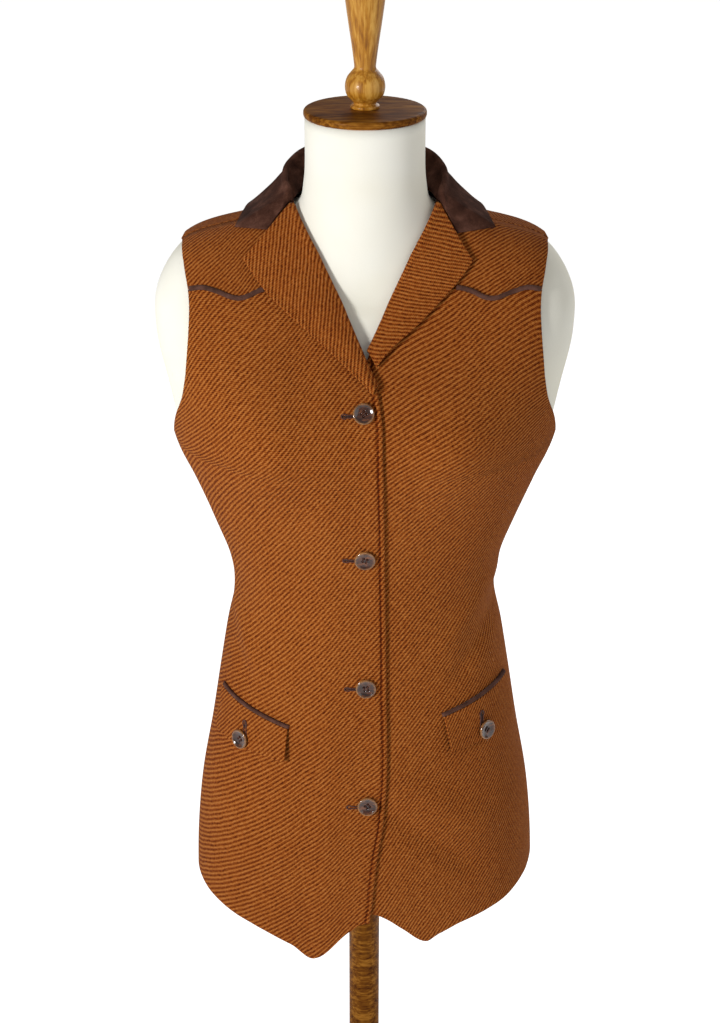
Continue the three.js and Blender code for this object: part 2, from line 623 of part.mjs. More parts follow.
// Buttons: a dished four-hole disc with a raised rim, its axis along the cloth's normal
const wasm = await Module();
wasm.setup();
function solid(geometry) {
  return new wasm.Manifold(new wasm.Mesh({
    numProp: 3,
    vertProperties: new Float32Array(geometry.attributes.position.array),
    triVerts: new Uint32Array(geometry.index.array),
  }));
}
function buttonGeometry() {
  const { radius, thickness, rim, dish, segments } = button;
  let body = solid(turned([
    [0, 0], [radius * 0.62, 0], [radius - 0.7, 0.8], [radius, thickness * 0.55],
    [radius - 0.5, thickness - 0.2], [radius - rim * 0.55, thickness], [radius - rim, thickness - 0.35], [radius - rim - 1, thickness - dish],
    [0, thickness - dish],
  ], segments));
  for (const angle of steps(3, 0, 3)) {
    const hole = turned([[0, -1], [button.holeRadius, -1], [button.holeRadius, 4], [0, 4]], 6);
    const turn = quarter * (angle + 0.5);
    const reach = button.holeSpacing / Math.SQRT2;
    hole.translate(reach * Math.cos(turn), reach * Math.sin(turn), 0);
    body = body.subtract(solid(hole));
  }
  const mesh = body.getMesh();
  return closedBody(Array.from(mesh.vertProperties), Array.from(mesh.triVerts));
}
const oneButton = buttonGeometry();
function placeButton(name, side, x, z, out) {
  const angle = angleAt(x, z);
  const mesh = add(name, oneButton.clone(), colours.horn, 0.3);
  mesh.position.copy(clothPoint(angle, z, out + frontRise(side, x, z)));
  mesh.quaternion.setFromUnitVectors(new THREE.Vector3(0, 0, 1), shapeNormal(angle, z));
}
frontButtons.forEach(([x, z], n) => placeButton(`button_front_${n + 1}`, -1, x, z, cloth.wall + button.seat));
const onFlap = 2 * cloth.wall + flap.lift + flap.kick / 2 + button.seat; // half the kick: above the lower edge
for (const [name, side] of [['right', -1], ['left', 1]]) {
  placeButton(`button_flap_${name}`, side, ...flapButtons[name], onFlap);
}

export default group;
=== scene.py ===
"""A western vest on a limbless dress form: ribbed twill, suede, horn buttons and a turned wooden cap."""

import logging
import math
from dataclasses import dataclass, field
from enum import Enum

import bpy
import numpy as np
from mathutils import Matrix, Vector

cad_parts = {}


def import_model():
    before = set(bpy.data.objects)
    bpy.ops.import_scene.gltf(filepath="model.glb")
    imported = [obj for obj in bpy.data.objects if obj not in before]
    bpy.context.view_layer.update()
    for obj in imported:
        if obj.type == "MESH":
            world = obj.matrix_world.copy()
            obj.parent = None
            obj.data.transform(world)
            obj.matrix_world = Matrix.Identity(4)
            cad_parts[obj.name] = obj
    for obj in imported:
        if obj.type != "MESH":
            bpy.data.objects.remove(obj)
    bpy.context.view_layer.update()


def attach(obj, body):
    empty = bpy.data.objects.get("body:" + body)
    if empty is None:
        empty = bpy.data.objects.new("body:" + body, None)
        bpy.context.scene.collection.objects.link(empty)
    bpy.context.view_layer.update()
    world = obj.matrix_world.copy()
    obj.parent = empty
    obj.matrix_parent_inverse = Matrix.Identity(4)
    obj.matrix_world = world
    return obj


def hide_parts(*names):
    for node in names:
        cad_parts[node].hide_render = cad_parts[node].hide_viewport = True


log = logging.getLogger("western vest")
Array = np.ndarray
Sockets = tuple[bpy.types.NodeSocket, bpy.types.NodeSocket]
MM = 0.001
QUARTER = math.pi / 2
WALL = 2.0  # thickness of the cloth, mm
CRUMPLE = 0.35  # depth of the small uneven waves in the cloth, mm
STAND_OFF = 0.7  # gap between a front and what lies on it, mm
SEAM_TURN = 0.0009  # half the gap at a side or shoulder seam, as an angle


# ---- numbers ----
def soft_step(k: Array) -> Array:
    """Smooth rise from 0 to 1: k squared times (3 - 2 k), with k held between 0 and 1."""
    c = np.clip(k, 0.0, 1.0)
    return c * c * (3 - 2 * c)


def mix(a: Array, b: Array, k: Array) -> Array:
    """The value that lies the share k of the way from a to b."""
    return a + (b - a) * k


def catmull(table: Array, place: Array) -> Array:
    """Rows of a table read at fractional row numbers along a Catmull-Rom curve.

    Args:
        table: rows by columns.
        place: fractional row numbers of any shape.

    Returns:
        An array of place's shape with the columns as its last axis.
    """
    last = len(table) - 1
    t = np.clip(place, 0, last)
    i = np.minimum(np.floor(t).astype(int), last - 1)
    f = (t - i)[..., None]
    a, b, c, d = (table[np.clip(i + k, 0, last)] for k in (-1, 0, 1, 2))
    return 0.5 * (2 * b + (c - a) * f + (2 * a - 5 * b + 4 * c - d) * f**2 + (3 * b - a - 3 * c + d) * f**3)


def eased(table: Array, value: Array) -> Array:
    """The second column at a value of the first, along a Catmull-Rom curve through the rows.

    Args:
        table: rows of two columns, the first one rising.
        value: where to read it.

    Returns:
        An array of value's shape.
    """
    x = table[:, 0]
    i = np.searchsorted(x[1:-1], value, side="left")
    f = np.clip((value - x[i]) / (x[i + 1] - x[i]), 0, 1)
    return catmull(table, i + f)[..., 1]


def straight(table: Array, value: Array) -> Array:
    """The second column at a value of the first, straight between rows and past the ends.

    Args:
        table: rows of two columns, the first one rising.
        value: where to read it.

    Returns:
        An array of value's shape.
    """
    x, y = table[:, 0], table[:, 1]
    i = np.searchsorted(x[1:-1], value, side="left")
    return mix(y[i], y[i + 1], (value - x[i]) / (x[i + 1] - x[i]))


def knotted(points: Array, new: int) -> Array:
    """Refines the last point axis with cubic pieces whose slopes are weighted by the chord lengths.

    Args:
        points: (rows, knots, 3).
        new: how many points each row gets.

    Returns:
        (rows, new, 3) points on the curve through the knots.
    """
    gaps = np.linalg.norm(np.diff(points, axis=1), axis=2).mean(axis=0)
    t = np.concatenate([[0.0], np.cumsum(gaps)])
    slope = np.diff(points, axis=1) / gaps[None, :, None]
    inner = (slope[:, :-1] * gaps[None, 1:, None] + slope[:, 1:] * gaps[None, :-1, None]) / (
        gaps[:-1] + gaps[1:]
    )[None, :, None]
    tangent = np.concatenate([slope[:, :1], inner, slope[:, -1:]], axis=1)
    s = np.linspace(0, t[-1], new)
    i = np.clip(np.searchsorted(t, s, side="right") - 1, 0, len(gaps) - 1)
    h = gaps[i][None, :, None]
    f = ((s - t[i]) / gaps[i])[None, :, None]
    return (
        points[:, i] * (2 * f**3 - 3 * f**2 + 1)
        + points[:, i + 1] * (3 * f**2 - 2 * f**3)
        + tangent[:, i] * h * (f**3 - 2 * f**2 + f)
        + tangent[:, i + 1] * h * (f**3 - f**2)
    )


def graded(count: int, low: float = 0.0, high: float = 1.0, pull: float = 0.8) -> Array:
    """count + 1 places from low to high that lie closer together near both ends."""
    t = np.linspace(0, 1, count + 1)
    return mix(low, high, (1 - pull) * t + pull * (1 - np.cos(np.pi * t)) / 2)


def closing(k: Array) -> Array:
    """Steps from 0 to 1 that shrink towards 1: k plus 0.88 times k (1 - k)."""
    return k + 0.88 * k * (1 - k)


def ripple(x: Array, y: Array, seed: int) -> Array:
    """Uneven soft waves from -1 to 1: the mean of five sines with seeded directions, lengths and phases.

    Args:
        x: places across, in units of about a sixth of a wave.
        y: places up, likewise.
        seed: the random seed.

    Returns:
        An array of x's shape.
    """
    rng = np.random.default_rng(seed)
    total = np.zeros_like(x, dtype=float)
    for turn, phase, scale in zip(rng.uniform(0, 2 * np.pi, 5), rng.uniform(0, 2 * np.pi, 5), (1, 1.3, 1.9, 2.6, 3.1)):
        total = total + np.sin(scale * (x * np.cos(turn) + y * np.sin(turn)) + phase) / 5
    return total


# ---- the shape under the cloth ----
@dataclass
class BodyShape:
    """The figure the cloth hangs on: rings from hem to neck, with two cups on the chest."""

    # front, side and back heights, half width, forward, rearward, squareness, ease to the form (mm)
    rings: Array = field(default_factory=lambda: np.array([
        [285, 285, 285, 161, 118, 122, 2.2, 9], [340, 340, 340, 161, 118, 123, 2.2, 9],
        [400, 400, 400, 159, 116, 122, 2.2, 8], [460, 460, 460, 153, 112, 118, 2.2, 7],
        [520, 520, 520, 142, 107, 111, 2.2, 6], [575, 575, 575, 133, 103, 104, 2.2, 6],
        [622, 622, 622, 125, 101, 98, 2.2, 6], [662, 662, 662, 117, 100, 94, 2.2, 6],
        [700, 700, 700, 121, 101, 96, 2.2, 6], [740, 740, 740, 135, 105, 101, 2.2, 6],
        [780, 780, 780, 151, 111, 108, 2.2, 6], [818, 815, 815, 166, 116, 113, 2.2, 5],
        [848, 865, 860, 176, 115, 117, 2.25, 4.2], [872, 912, 905, 184, 106, 114, 2.3, 3.4],
        [895, 952, 945, 180, 93, 106, 2.35, 2.6], [917, 988, 979, 154, 79, 92, 2.35, 2.6],
        [938, 1004, 1000, 106, 66, 73, 2.25, 2.4], [958, 1018, 1032, 63, 55, 52, 2.1, 2.4],
        [1005, 1040, 1050, 53, 51, 50, 2.0, 1.4], [1082, 1082, 1082, 50.5, 50.5, 50.5, 2.0, 0],
    ], float))
    cup_out: float = 15.0
    cup_x: float = 82.0
    cup_z: float = 838.0
    cup_width: float = 46.0
    cup_height: float = 50.0
    # face, x0, z0, x1, z1, spread, lift: ridges (lift over 0) and hollows of the hanging cloth (mm)
    folds: Array = field(default_factory=lambda: np.array([
        [-1, -124, 668, -99, 618, 9, 2.4], [-1, -119, 640, -108, 600, 9, -2.6],
        [-1, 122, 664, 86, 612, 10, -2.8], [-1, 112, 690, 70, 640, 10, 1.8],
        [-1, 14, 486, 96, 418, 11, -3.0], [-1, 22, 520, 110, 452, 14, 2.2],
        [-1, -40, 452, -110, 420, 16, 1.6], [1, -104, 668, -60, 640, 11, -2.6],
        [1, 98, 676, 52, 650, 11, -2.4], [1, -84, 706, -30, 690, 13, 1.9],
        [1, 90, 640, 40, 612, 13, 1.8],
    ], float))

    def point(self, angle: Array, level: Array) -> Array:
        """A point of the shape: a superellipse ring whose height runs from its side to its front or back height.

        Args:
            angle: 0 in the middle of the front, a quarter turn at the wearer's left side.
            level: fractional ring number.

        Returns:
            Points in mm, moved forward by the cups: a bell curve of the distance to each cup's middle.
        """
        angle, level = np.broadcast_arrays(angle, level)
        front, side, back, half, forward, rearward, square = np.moveaxis(
            catmull(self.rings[:, :7], level), -1, 0)
        s, c = np.sin(angle), np.cos(angle)
        power = 2 / square
        x = half * np.sign(s) * np.abs(s) ** power
        z = side + (np.where(c >= 0, front, back) - side) * c * c
        cup = self.cup_out * soft_step(c / 0.6) * np.exp(
            -(((np.abs(x) - self.cup_x) / self.cup_width) ** 2) - ((z - self.cup_z) / self.cup_height) ** 2)
        y = -np.where(c >= 0, forward, rearward) * np.sign(c) * np.abs(c) ** power - cup
        return np.stack([x, y, z], axis=-1)

    def level_at(self, angle: Array, z: Array) -> Array:
        """The ring number whose surface passes through height z at this angle, by halving.

        Args:
            angle: the angle.
            z: the height, in mm.

        Returns:
            Fractional ring numbers.
        """
        angle, z = np.broadcast_arrays(angle, z)
        c = np.cos(angle)
        low, high = np.zeros(angle.shape), np.full(angle.shape, len(self.rings) - 1.0)
        end = np.where(c >= 0, 0, 2)
        heights = self.rings[:, :3]
        for _ in range(19):
            middle = (low + high) / 2
            row = catmull(heights, middle)
            side = row[..., 1]
            reach = np.where(end == 0, row[..., 0], row[..., 2])
            under = side + (reach - side) * c * c < z
            low, high = np.where(under, middle, low), np.where(under, high, middle)
        return (low + high) / 2

    def at(self, angle: Array, z: Array) -> Array:
        """The point of the shape at an angle and a height."""
        return self.point(angle, self.level_at(angle, z))

    def angle_at(self, x: Array, z: Array, back: bool = False) -> Array:
        """The angle at which the surface at height z lies x from the middle, by halving.

        Args:
            x: distance from the middle, in mm.
            z: the height, in mm.
            back: whether to look behind.

        Returns:
            Signed angles.
        """
        x, z = np.broadcast_arrays(np.asarray(x, float), np.asarray(z, float))
        low, high = np.zeros(x.shape), np.full(x.shape, QUARTER)
        for _ in range(17):
            middle = (low + high) / 2
            angle = math.pi - middle if back else middle
            under = self.at(angle, z)[..., 0] < np.abs(x)
            low, high = np.where(under, middle, low), np.where(under, high, middle)
        found = (low + high) / 2
        return np.where(x < 0, -1.0, 1.0) * (math.pi - found if back else found)

    def normal(self, angle: Array, z: Array) -> Array:
        """The unit normal that points away from the body, from differences along the angle and the height.

        Args:
            angle: the angle.
            z: the height, in mm.

        Returns:
            (..., 3) unit vectors.
        """
        across = self.at(angle + 0.004, z) - self.at(angle - 0.004, z)
        up = self.at(angle, z + 1.0) - self.at(angle, z - 1.0)
        n = np.cross(across, up)
        return n / np.linalg.norm(n, axis=-1, keepdims=True)

    def fold_lift(self, point: Array) -> Array:
        """How far ridges and hollows move the cloth: bell curves of the distance to each fold's line.

        Args:
            point: (..., 3) points in mm.

        Returns:
            The lift in mm.
        """
        total = np.zeros(point.shape[:-1])
        x, y, z = np.moveaxis(point, -1, 0)
        for face, x0, z0, x1, z1, spread, lift in self.folds:
            dx, dz = x1 - x0, z1 - z0
            k = np.clip(((x - x0) * dx + (z - z0) * dz) / (dx * dx + dz * dz), 0, 1)
            away = np.hypot(x - x0 - dx * k, z - z0 - dz * k) / spread
            total += np.where(y * face > 0, lift * np.exp(-away * away), 0)
        return total * soft_step(np.abs(y) / 30)

    def cloth(self, angle: Array, z: Array, out: Array) -> Array:
        """A point on the hanging cloth, out from the shape along its normal and lifted by the folds."""
        point = self.at(angle, z)
        return point + self.normal(angle, z) * (out + self.fold_lift(point))[..., None]


SHAPE = BodyShape()


# ---- colours and finishes ----
def linear(code: str) -> tuple[float, float, float, float]:
    """An sRGB hex colour as linear red, green, blue and alpha.

    Args:
        code: six hex digits.

    Returns:
        Four numbers from 0 to 1.
    """
    values = [int(code[i:i + 2], 16) / 255 for i in (0, 2, 4)]
    return tuple(v / 12.92 if v <= 0.04045 else ((v + 0.055) / 1.055) ** 2.4 for v in values) + (1.0,)


def add_node(tree: bpy.types.NodeTree, kind: str, inputs: dict | tuple = (), output: int | str = 0,
             stops: tuple[tuple[float, str], ...] = (), **settings: object) -> bpy.types.NodeSocket:
    """Adds one shader node.

    Args:
        tree: the material's node tree.
        kind: the node's type name, without its ShaderNode prefix.
        inputs: values, or sockets to link from, in order or by input name or number.
        output: the output's name or number.
        stops: a colour ramp's places and sRGB hex colours.
        **settings: the node's own properties.

    Returns:
        The output socket.
    """
    node = tree.nodes.new("ShaderNode" + kind)
    for name, value in settings.items():
        setattr(node, name, value)
    for key, value in (inputs if isinstance(inputs, dict) else dict(enumerate(inputs))).items():
        if isinstance(value, bpy.types.NodeSocket):
            tree.links.new(value, node.inputs[key])
        else:
            node.inputs[key].default_value = value
    if stops:
        elements = node.color_ramp.elements
        while len(elements) < len(stops):
            elements.new(0.5)
        for element, (place, code) in zip(elements, stops):
            element.position, element.color = place, linear(code)
    return node.outputs[output]


@dataclass(frozen=True)
class Finish:
    """A surface finish: the material's name, its viewport colour and the shader's constant values."""

    name: str
    plain: str
    roughness: float = 0.8
    sheen: float = 0.0
    sheen_roughness: float = 0.4
    coat: float = 0.0
    coat_roughness: float = 0.1
    specular: float = 0.5
    bump_mm: float = 0.2

    def pattern(self, tree: bpy.types.NodeTree, place: bpy.types.NodeSocket) -> Sockets:
        """The finish's colour and height sockets, from object coordinates in metres; each finish gives its own."""
        raise NotImplementedError

    def build(self) -> bpy.types.Material:
        """Makes the material: the constants on the shader's own sockets, then the pattern's colour and height.

        Returns:
            The material, or the one of that name if it was built before.
        """
        made = bpy.data.materials.get(self.name)
        if made:
            return made
        material = bpy.data.materials.new(self.name)
        material.use_nodes = True
        material.diffuse_color = linear(self.plain)
        tree = material.node_tree
        shader = tree.nodes["Principled BSDF"]
        values = {"Roughness": self.roughness, "Sheen Weight": self.sheen, "Sheen Roughness": self.sheen_roughness,
                  "Coat Weight": self.coat, "Coat Roughness": self.coat_roughness,
                  "Specular IOR Level": self.specular}
        for key, value in values.items():
            shader.inputs[key].default_value = value
        colour, height = self.pattern(tree, add_node(tree, "TexCoord", output="Object"))
        tree.links.new(colour, shader.inputs["Base Color"])
        bump = add_node(tree, "Bump", {"Strength": 1.0, "Distance": self.bump_mm * MM, "Height": height})
        tree.links.new(bump, shader.inputs["Normal"])
        return material


@dataclass(frozen=True)
class Twill(Finish):
    """Heavy cavalry twill: raised slanting cords about 3 mm apart, each crossed by its yarns, with dark furrows that
    are partly painted shade.
    """

    # the ramp from crest to furrow is the cloth's colour with painted shade darkening the furrows
    crest: str = "BC783C"
    ridge: str = "A65F25"
    slope: str = "853F13"
    furrow: str = "4B1A05"
    # lumps a metre, detail, gain and offset of: wander of the cords, worn yarns, filled furrows, cloud, fleck
    noises: tuple[tuple[float, float, float, float], ...] = (
        (90, 3, 0.5, -0.25), (900, 1, 2, -0.4), (330, 2, 0.9, -0.3), (9, 3, 0.2, -0.1), (560, 2, 1.0, -0.5))

    def pattern(self, tree: bpy.types.NodeTree, place: bpy.types.NodeSocket) -> Sockets:
        """Colour and height from the cut's own coordinates, counted in cords across and along.

        A cord is half a sine of the count across plus a half. A yarn is a sine of 1.2 times across plus
        1.7 times along. The furrows take painted shade from the ramp and are filled by noise, and sewn grooves take
        painted shade by their seam value.
        """
        cut = add_node(tree, "SeparateXYZ", (add_node(tree, "UVMap", uv_map="cut"),)).node.outputs
        wander, worn, fill, cloud, fleck = (
            add_node(tree, "Math", (add_node(tree, "TexNoise", {"Vector": place, "Scale": lumps, "Detail": detail}),
                                    gain, offset), operation="MULTIPLY_ADD")
            for lumps, detail, gain, offset in self.noises)
        phase = add_node(tree, "Math", (cut[0], wander), operation="ADD")
        along = add_node(tree, "Math", (cut[1], 1.7), operation="MULTIPLY")
        slant = add_node(tree, "Math", (phase, 1.2, along), operation="MULTIPLY_ADD")
        wave, yarn_wave = (
            add_node(tree, "Math", (add_node(tree, "Math", (count, 2 * math.pi), operation="MULTIPLY"),),
                     operation="SINE") for count in (phase, slant))
        cord = add_node(tree, "Math", (wave, 0.5, 0.5), operation="MULTIPLY_ADD")
        yarn = add_node(tree, "Math", (yarn_wave, worn), operation="MULTIPLY")
        furrow = add_node(tree, "Math", (1.0, cord), operation="SUBTRACT")
        filled = add_node(tree, "Math", (furrow, fill, cord), operation="MULTIPLY_ADD")
        height = add_node(tree, "Math", (yarn, 0.22, cord), operation="MULTIPLY_ADD")
        tone = add_node(tree, "Math", (filled, 0.76, 0.08), operation="MULTIPLY_ADD")
        tone = add_node(tree, "Math", (yarn, 0.26, tone), operation="MULTIPLY_ADD")
        # the seam attribute holds painted shade for the sewn grooves; it darkens the tone
        seam = add_node(tree, "Attribute", output="Fac", attribute_name="seam")
        for value, operation in ((cloud, "ADD"), (fleck, "ADD"), (seam, "SUBTRACT")):
            tone = add_node(tree, "Math", (tone, value), operation=operation)
        # the furrow end of the ramp is painted shade as well as the cloth's colour
        stops = ((0.0, self.furrow), (0.36, self.slope), (0.72, self.ridge), (1.0, self.crest))
        return add_node(tree, "ValToRGB", (tone,), stops=stops), height


@dataclass(frozen=True)
class Suede(Finish):
    """Split leather with a brushed nap: soft mottled patches where the nap lies either way, and a fine fuzz."""

    dark: str = "2E1A14"
    middle: str = "4A2E24"
    light: str = "6E4A3D"

    def pattern(self, tree: bpy.types.NodeTree, place: bpy.types.NodeSocket) -> Sockets:
        """Colour from 0.7 of a broad mottling and 0.3 of a fine fuzz, height from the fuzz."""
        fuzz = add_node(tree, "TexNoise", {"Vector": place, "Scale": 1400, "Detail": 3, "Roughness": 0.7})
        broad = add_node(tree, "TexNoise", {"Vector": place, "Scale": 75, "Detail": 4, "Roughness": 0.6})
        fine = add_node(tree, "Math", (fuzz, 0.3), operation="MULTIPLY")
        mottle = add_node(tree, "Math", (broad, 0.7, fine), operation="MULTIPLY_ADD")
        stops = ((0.32, self.dark), (0.5, self.middle), (0.7, self.light))
        return add_node(tree, "ValToRGB", (mottle,), stops=stops), fuzz


@dataclass(frozen=True)
class Horn(Finish):
    """Polished horn: dark swirled layers, with a lighter tan on the raised rim that is a painted highlight."""

    def pattern(self, tree: bpy.types.NodeTree, place: bpy.types.NodeSocket) -> Sockets:
        """Colour from swirls, lightened towards the rim by the distance from the button's middle that its UV map holds:
        a painted rim highlight.
        """
        place = add_node(tree, "Mapping", {"Vector": place, "Scale": (1, 1, 2.4)})
        swirl = add_node(tree, "TexNoise", {"Vector": place, "Scale": 190, "Detail": 3, "Roughness": 0.6})
        radius = add_node(tree, "SeparateXYZ", (add_node(tree, "UVMap", uv_map="turn"),))
        # the rim ramp lightens the whole rim to tan: a painted highlight
        dark, light, rim = (add_node(tree, "ValToRGB", (value,), stops=stops) for value, stops in (
            (swirl, ((0.35, "1A0A06"), (0.52, "45200F"), (0.68, "7C4522"))),
            (swirl, ((0.3, "8C5527"), (0.7, "C99352"))),
            (radius, ((0.78, "000000"), (0.9, "B4B4B4"), (1.0, "D0D0D0")))))
        colour = add_node(tree, "Mix", {"Factor": rim, 6: dark, 7: light}, output=2, data_type="RGBA")
        return colour, add_node(tree, "TexNoise", {"Vector": place, "Scale": 800})


@dataclass(frozen=True)
class Jersey(Finish):
    """Cream cotton jersey stretched over a form: a close knit of 0.7 mm ribs that only shows as a soft grain."""

    light: str = "FDFBF0"
    shade: str = "F7F3E2"

    def pattern(self, tree: bpy.types.NodeTree, place: bpy.types.NodeSocket) -> Sockets:
        """A nearly even cream with a faint cloud, and the knit's grain as height."""
        cloud = add_node(tree, "TexNoise", {"Vector": place, "Scale": 14})
        ribs = add_node(tree, "Mapping", {"Vector": place, "Scale": (1.0, 1.0, 0.35)})
        knit = add_node(tree, "TexNoise", {"Vector": ribs, "Scale": 1400})
        return add_node(tree, "ValToRGB", (cloud,), stops=((0.25, self.shade), (0.65, self.light))), knit


@dataclass(frozen=True)
class TurnedWood(Finish):
    """Varnished wood: streaks of grain along the turned axis, darker lines in the pores."""

    dark: str = "5A2F12"
    middle: str = "955520"
    light: str = "BF7E38"
    stretch: tuple[float, float, float] = (1.0, 1.0, 0.06)
    grain: float = 420.0

    def pattern(self, tree: bpy.types.NodeTree, place: bpy.types.NodeSocket) -> Sockets:
        """Colour from noise stretched along the grain, the same streaks as a shallow height."""
        place = add_node(tree, "Mapping", {"Vector": place, "Scale": self.stretch})
        broad, streak = (
            add_node(tree, "TexNoise", {"Vector": place, "Scale": scale, "Detail": detail, "Roughness": rough})
            for scale, detail, rough in ((self.grain * 0.25, 3, 0.6), (self.grain, 4, 0.65)))
        most = add_node(tree, "Math", (broad, 0.55), operation="MULTIPLY")
        mixed = add_node(tree, "Math", (streak, 0.45, most), operation="MULTIPLY_ADD")
        stops = ((0.36, self.dark), (0.5, self.middle), (0.64, self.light))
        return add_node(tree, "ValToRGB", (mixed,), stops=stops), streak


@dataclass(frozen=True)
class Thread(Finish):
    """Tight buttonhole silk: dark strands laid side by side every 0.6 mm across the cord."""

    strand: str = "6A3626"
    gap: str = "2C120B"

    def pattern(self, tree: bpy.types.NodeTree, place: bpy.types.NodeSocket) -> Sockets:
        """Strands from the length along the cord that its UV map holds, in mm."""
        length = add_node(tree, "SeparateXYZ", (add_node(tree, "UVMap", uv_map="turn"),), output=1)
        turn = add_node(tree, "Math", (length, 2 * math.pi / 0.6), operation="MULTIPLY")
        wave = add_node(tree, "Math", (turn,), operation="SINE")
        strand = add_node(tree, "Math", (wave, 0.5, 0.5), operation="MULTIPLY_ADD")
        return add_node(tree, "ValToRGB", (strand,), stops=((0.1, self.gap), (0.6, self.strand))), strand


@dataclass(frozen=True)
class Satin(Finish):
    """The smooth plain back of the cloth: a dark brown satin weave with a faint crosswise slub."""

    def pattern(self, tree: bpy.types.NodeTree, place: bpy.types.NodeSocket) -> Sockets:
        """Brown with slubs, and a fine weave as height."""
        crosswise = add_node(tree, "Mapping", {"Vector": place, "Scale": (1.0, 1.0, 0.2)})
        slub = add_node(tree, "TexNoise", {"Vector": crosswise, "Scale": 300, "Detail": 3})
        weave = add_node(tree, "TexNoise", {"Vector": place, "Scale": 2200, "Detail": 1})
        return add_node(tree, "ValToRGB", (slub,), stops=((0.3, "2C1A12"), (0.7, "46301F"))), weave


TWILL = Twill("cavalry twill wool", "95561F", 0.95, 0.03, bump_mm=0.55, specular=0.06)
SUEDE = Suede("brown suede", "4A2E24", 1.0, 0.02, 0.5, bump_mm=0.35, specular=0.04)
PIPING = Suede("suede piping", "4A302D", 0.9, 0.04, 0.5, bump_mm=0.2, specular=0.1,
               dark="38231C", middle="56392F", light="755046")
HORN = Horn("polished horn", "4A2A1C", 0.16, coat=1.0, coat_roughness=0.05, specular=0.6, bump_mm=0.03)
JERSEY = Jersey("cream jersey", "F4EFDC", 0.85, 0.05, bump_mm=0.12, specular=0.15)
WALNUT = TurnedWood("walnut stained wood", "3A1C12", 0.4, coat=0.02, coat_roughness=0.2, specular=0.03,
                    bump_mm=0.05, dark="4A2408", middle="7A4812", light="A87028", stretch=(0.12, 1.0, 1.0), grain=500)
BEECH = TurnedWood("varnished beech", "A8692E", 0.4, coat=0.25, coat_roughness=0.12, specular=0.25, bump_mm=0.06,
                   dark="8A5210", middle="BC7E22", light="DFA84C")
THREAD = Thread("buttonhole silk", "3A2018", 0.6, 0.1, bump_mm=0.2)
SATIN = Satin("satin cloth back", "3A2418", 0.5, 0.2, bump_mm=0.05)


# ---- meshes ----
def make_object(name: str, vertices: Array, faces: Array, finishes: list[Finish], node: str = "",
                uv: Array | None = None, uv_name: str = "cut", second: Array | None = None,
                seam: Array | None = None) -> bpy.types.Object:
    """Makes a smooth mesh object that rides on the root body.

    Args:
        name: the object's name.
        vertices: (n, 3) points in mm.
        faces: (m, 4) vertex numbers; a triangle repeats its last one.
        finishes: the material of faces, and where second is given, that of its faces.
        node: the solid this piece stands for, if any.
        uv: (n, 2) coordinates, one for each vertex.
        uv_name: the map's name.
        second: a mask of the faces that take the second material.
        seam: how much painted shade each vertex takes in a sewn groove, from 0 to 1.

    Returns:
        The object, its faces turned outwards by the sign of its volume.
    """
    a, b, c, d = (vertices[faces[:, k]] for k in range(4))
    volume = np.einsum("ij,ij->i", a, np.cross(b, c)).sum() + np.einsum("ij,ij->i", a, np.cross(c, d)).sum()
    if volume < 0:
        faces = faces[:, ::-1]
    three = (faces[:, 2] == faces[:, 3]) | (faces[:, 0] == faces[:, 1])
    listed = [list(dict.fromkeys(face)) if flag else face for face, flag in zip(faces.tolist(), three.tolist())]
    mesh = bpy.data.meshes.new(name)
    mesh.from_pydata(vertices * MM, [], listed)
    mesh.update()
    mesh.polygons.foreach_set("use_smooth", np.ones(len(listed), bool))
    if uv is not None:
        corner = np.empty(len(mesh.loops), np.int32)
        mesh.loops.foreach_get("vertex_index", corner)
        layer = mesh.uv_layers.new(name=uv_name)
        layer.uv.foreach_set("vector", uv[corner].astype(np.float32).ravel())
    # the seam attribute carries painted shade for the sewn grooves
    if seam is not None:
        mesh.attributes.new("seam", "FLOAT", "POINT").data.foreach_set("value", seam.astype(np.float32))
    for finish in finishes:
        mesh.materials.append(finish.build())
    if second is not None:
        mesh.polygons.foreach_set("material_index", second.astype(np.int32))
    made = bpy.data.objects.new(name, mesh)
    bpy.context.scene.collection.objects.link(made)
    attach(made, "root")
    if node:
        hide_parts(node)
    log.info("%s: %d vertices", name, len(vertices))
    return made


def shell_faces(rows: int, columns: int) -> tuple[Array, Array]:
    """Faces of a wall between two grids, the inner one's vertices first.

    Args:
        rows: rows of each grid.
        columns: columns of each grid.

    Returns:
        The quads, and a mask of those on the inner side.
    """
    inner = np.arange(rows * columns).reshape(rows, columns)
    outer = inner + rows * columns

    def quads(grid: Array, flip: bool) -> Array:
        """The quads of one grid."""
        corners = [grid[:-1, :-1], grid[:-1, 1:], grid[1:, 1:], grid[1:, :-1]]
        return np.stack(corners[::-1] if flip else corners, axis=-1).reshape(-1, 4)

    def rim(a: Array, b: Array) -> Array:
        """The quads between an edge of one grid and the same edge of the other."""
        return np.stack([a[:-1], b[:-1], b[1:], a[1:]], axis=-1)

    parts = [quads(outer, False), quads(inner, True), rim(inner[:, 0], outer[:, 0]),
             rim(outer[:, -1], inner[:, -1]), rim(outer[0], inner[0]), rim(inner[-1], outer[-1])]
    mask = np.zeros(sum(len(p) for p in parts), bool)
    mask[len(parts[0]):len(parts[0]) + len(parts[1])] = True
    return np.concatenate(parts), mask


def both_sides(inner: Array, outer: Array) -> Array:
    """The points of two grids as one list, the inner one's first, as shell_faces counts them."""
    return np.concatenate([inner.reshape(-1, inner.shape[-1]), outer.reshape(-1, outer.shape[-1])])


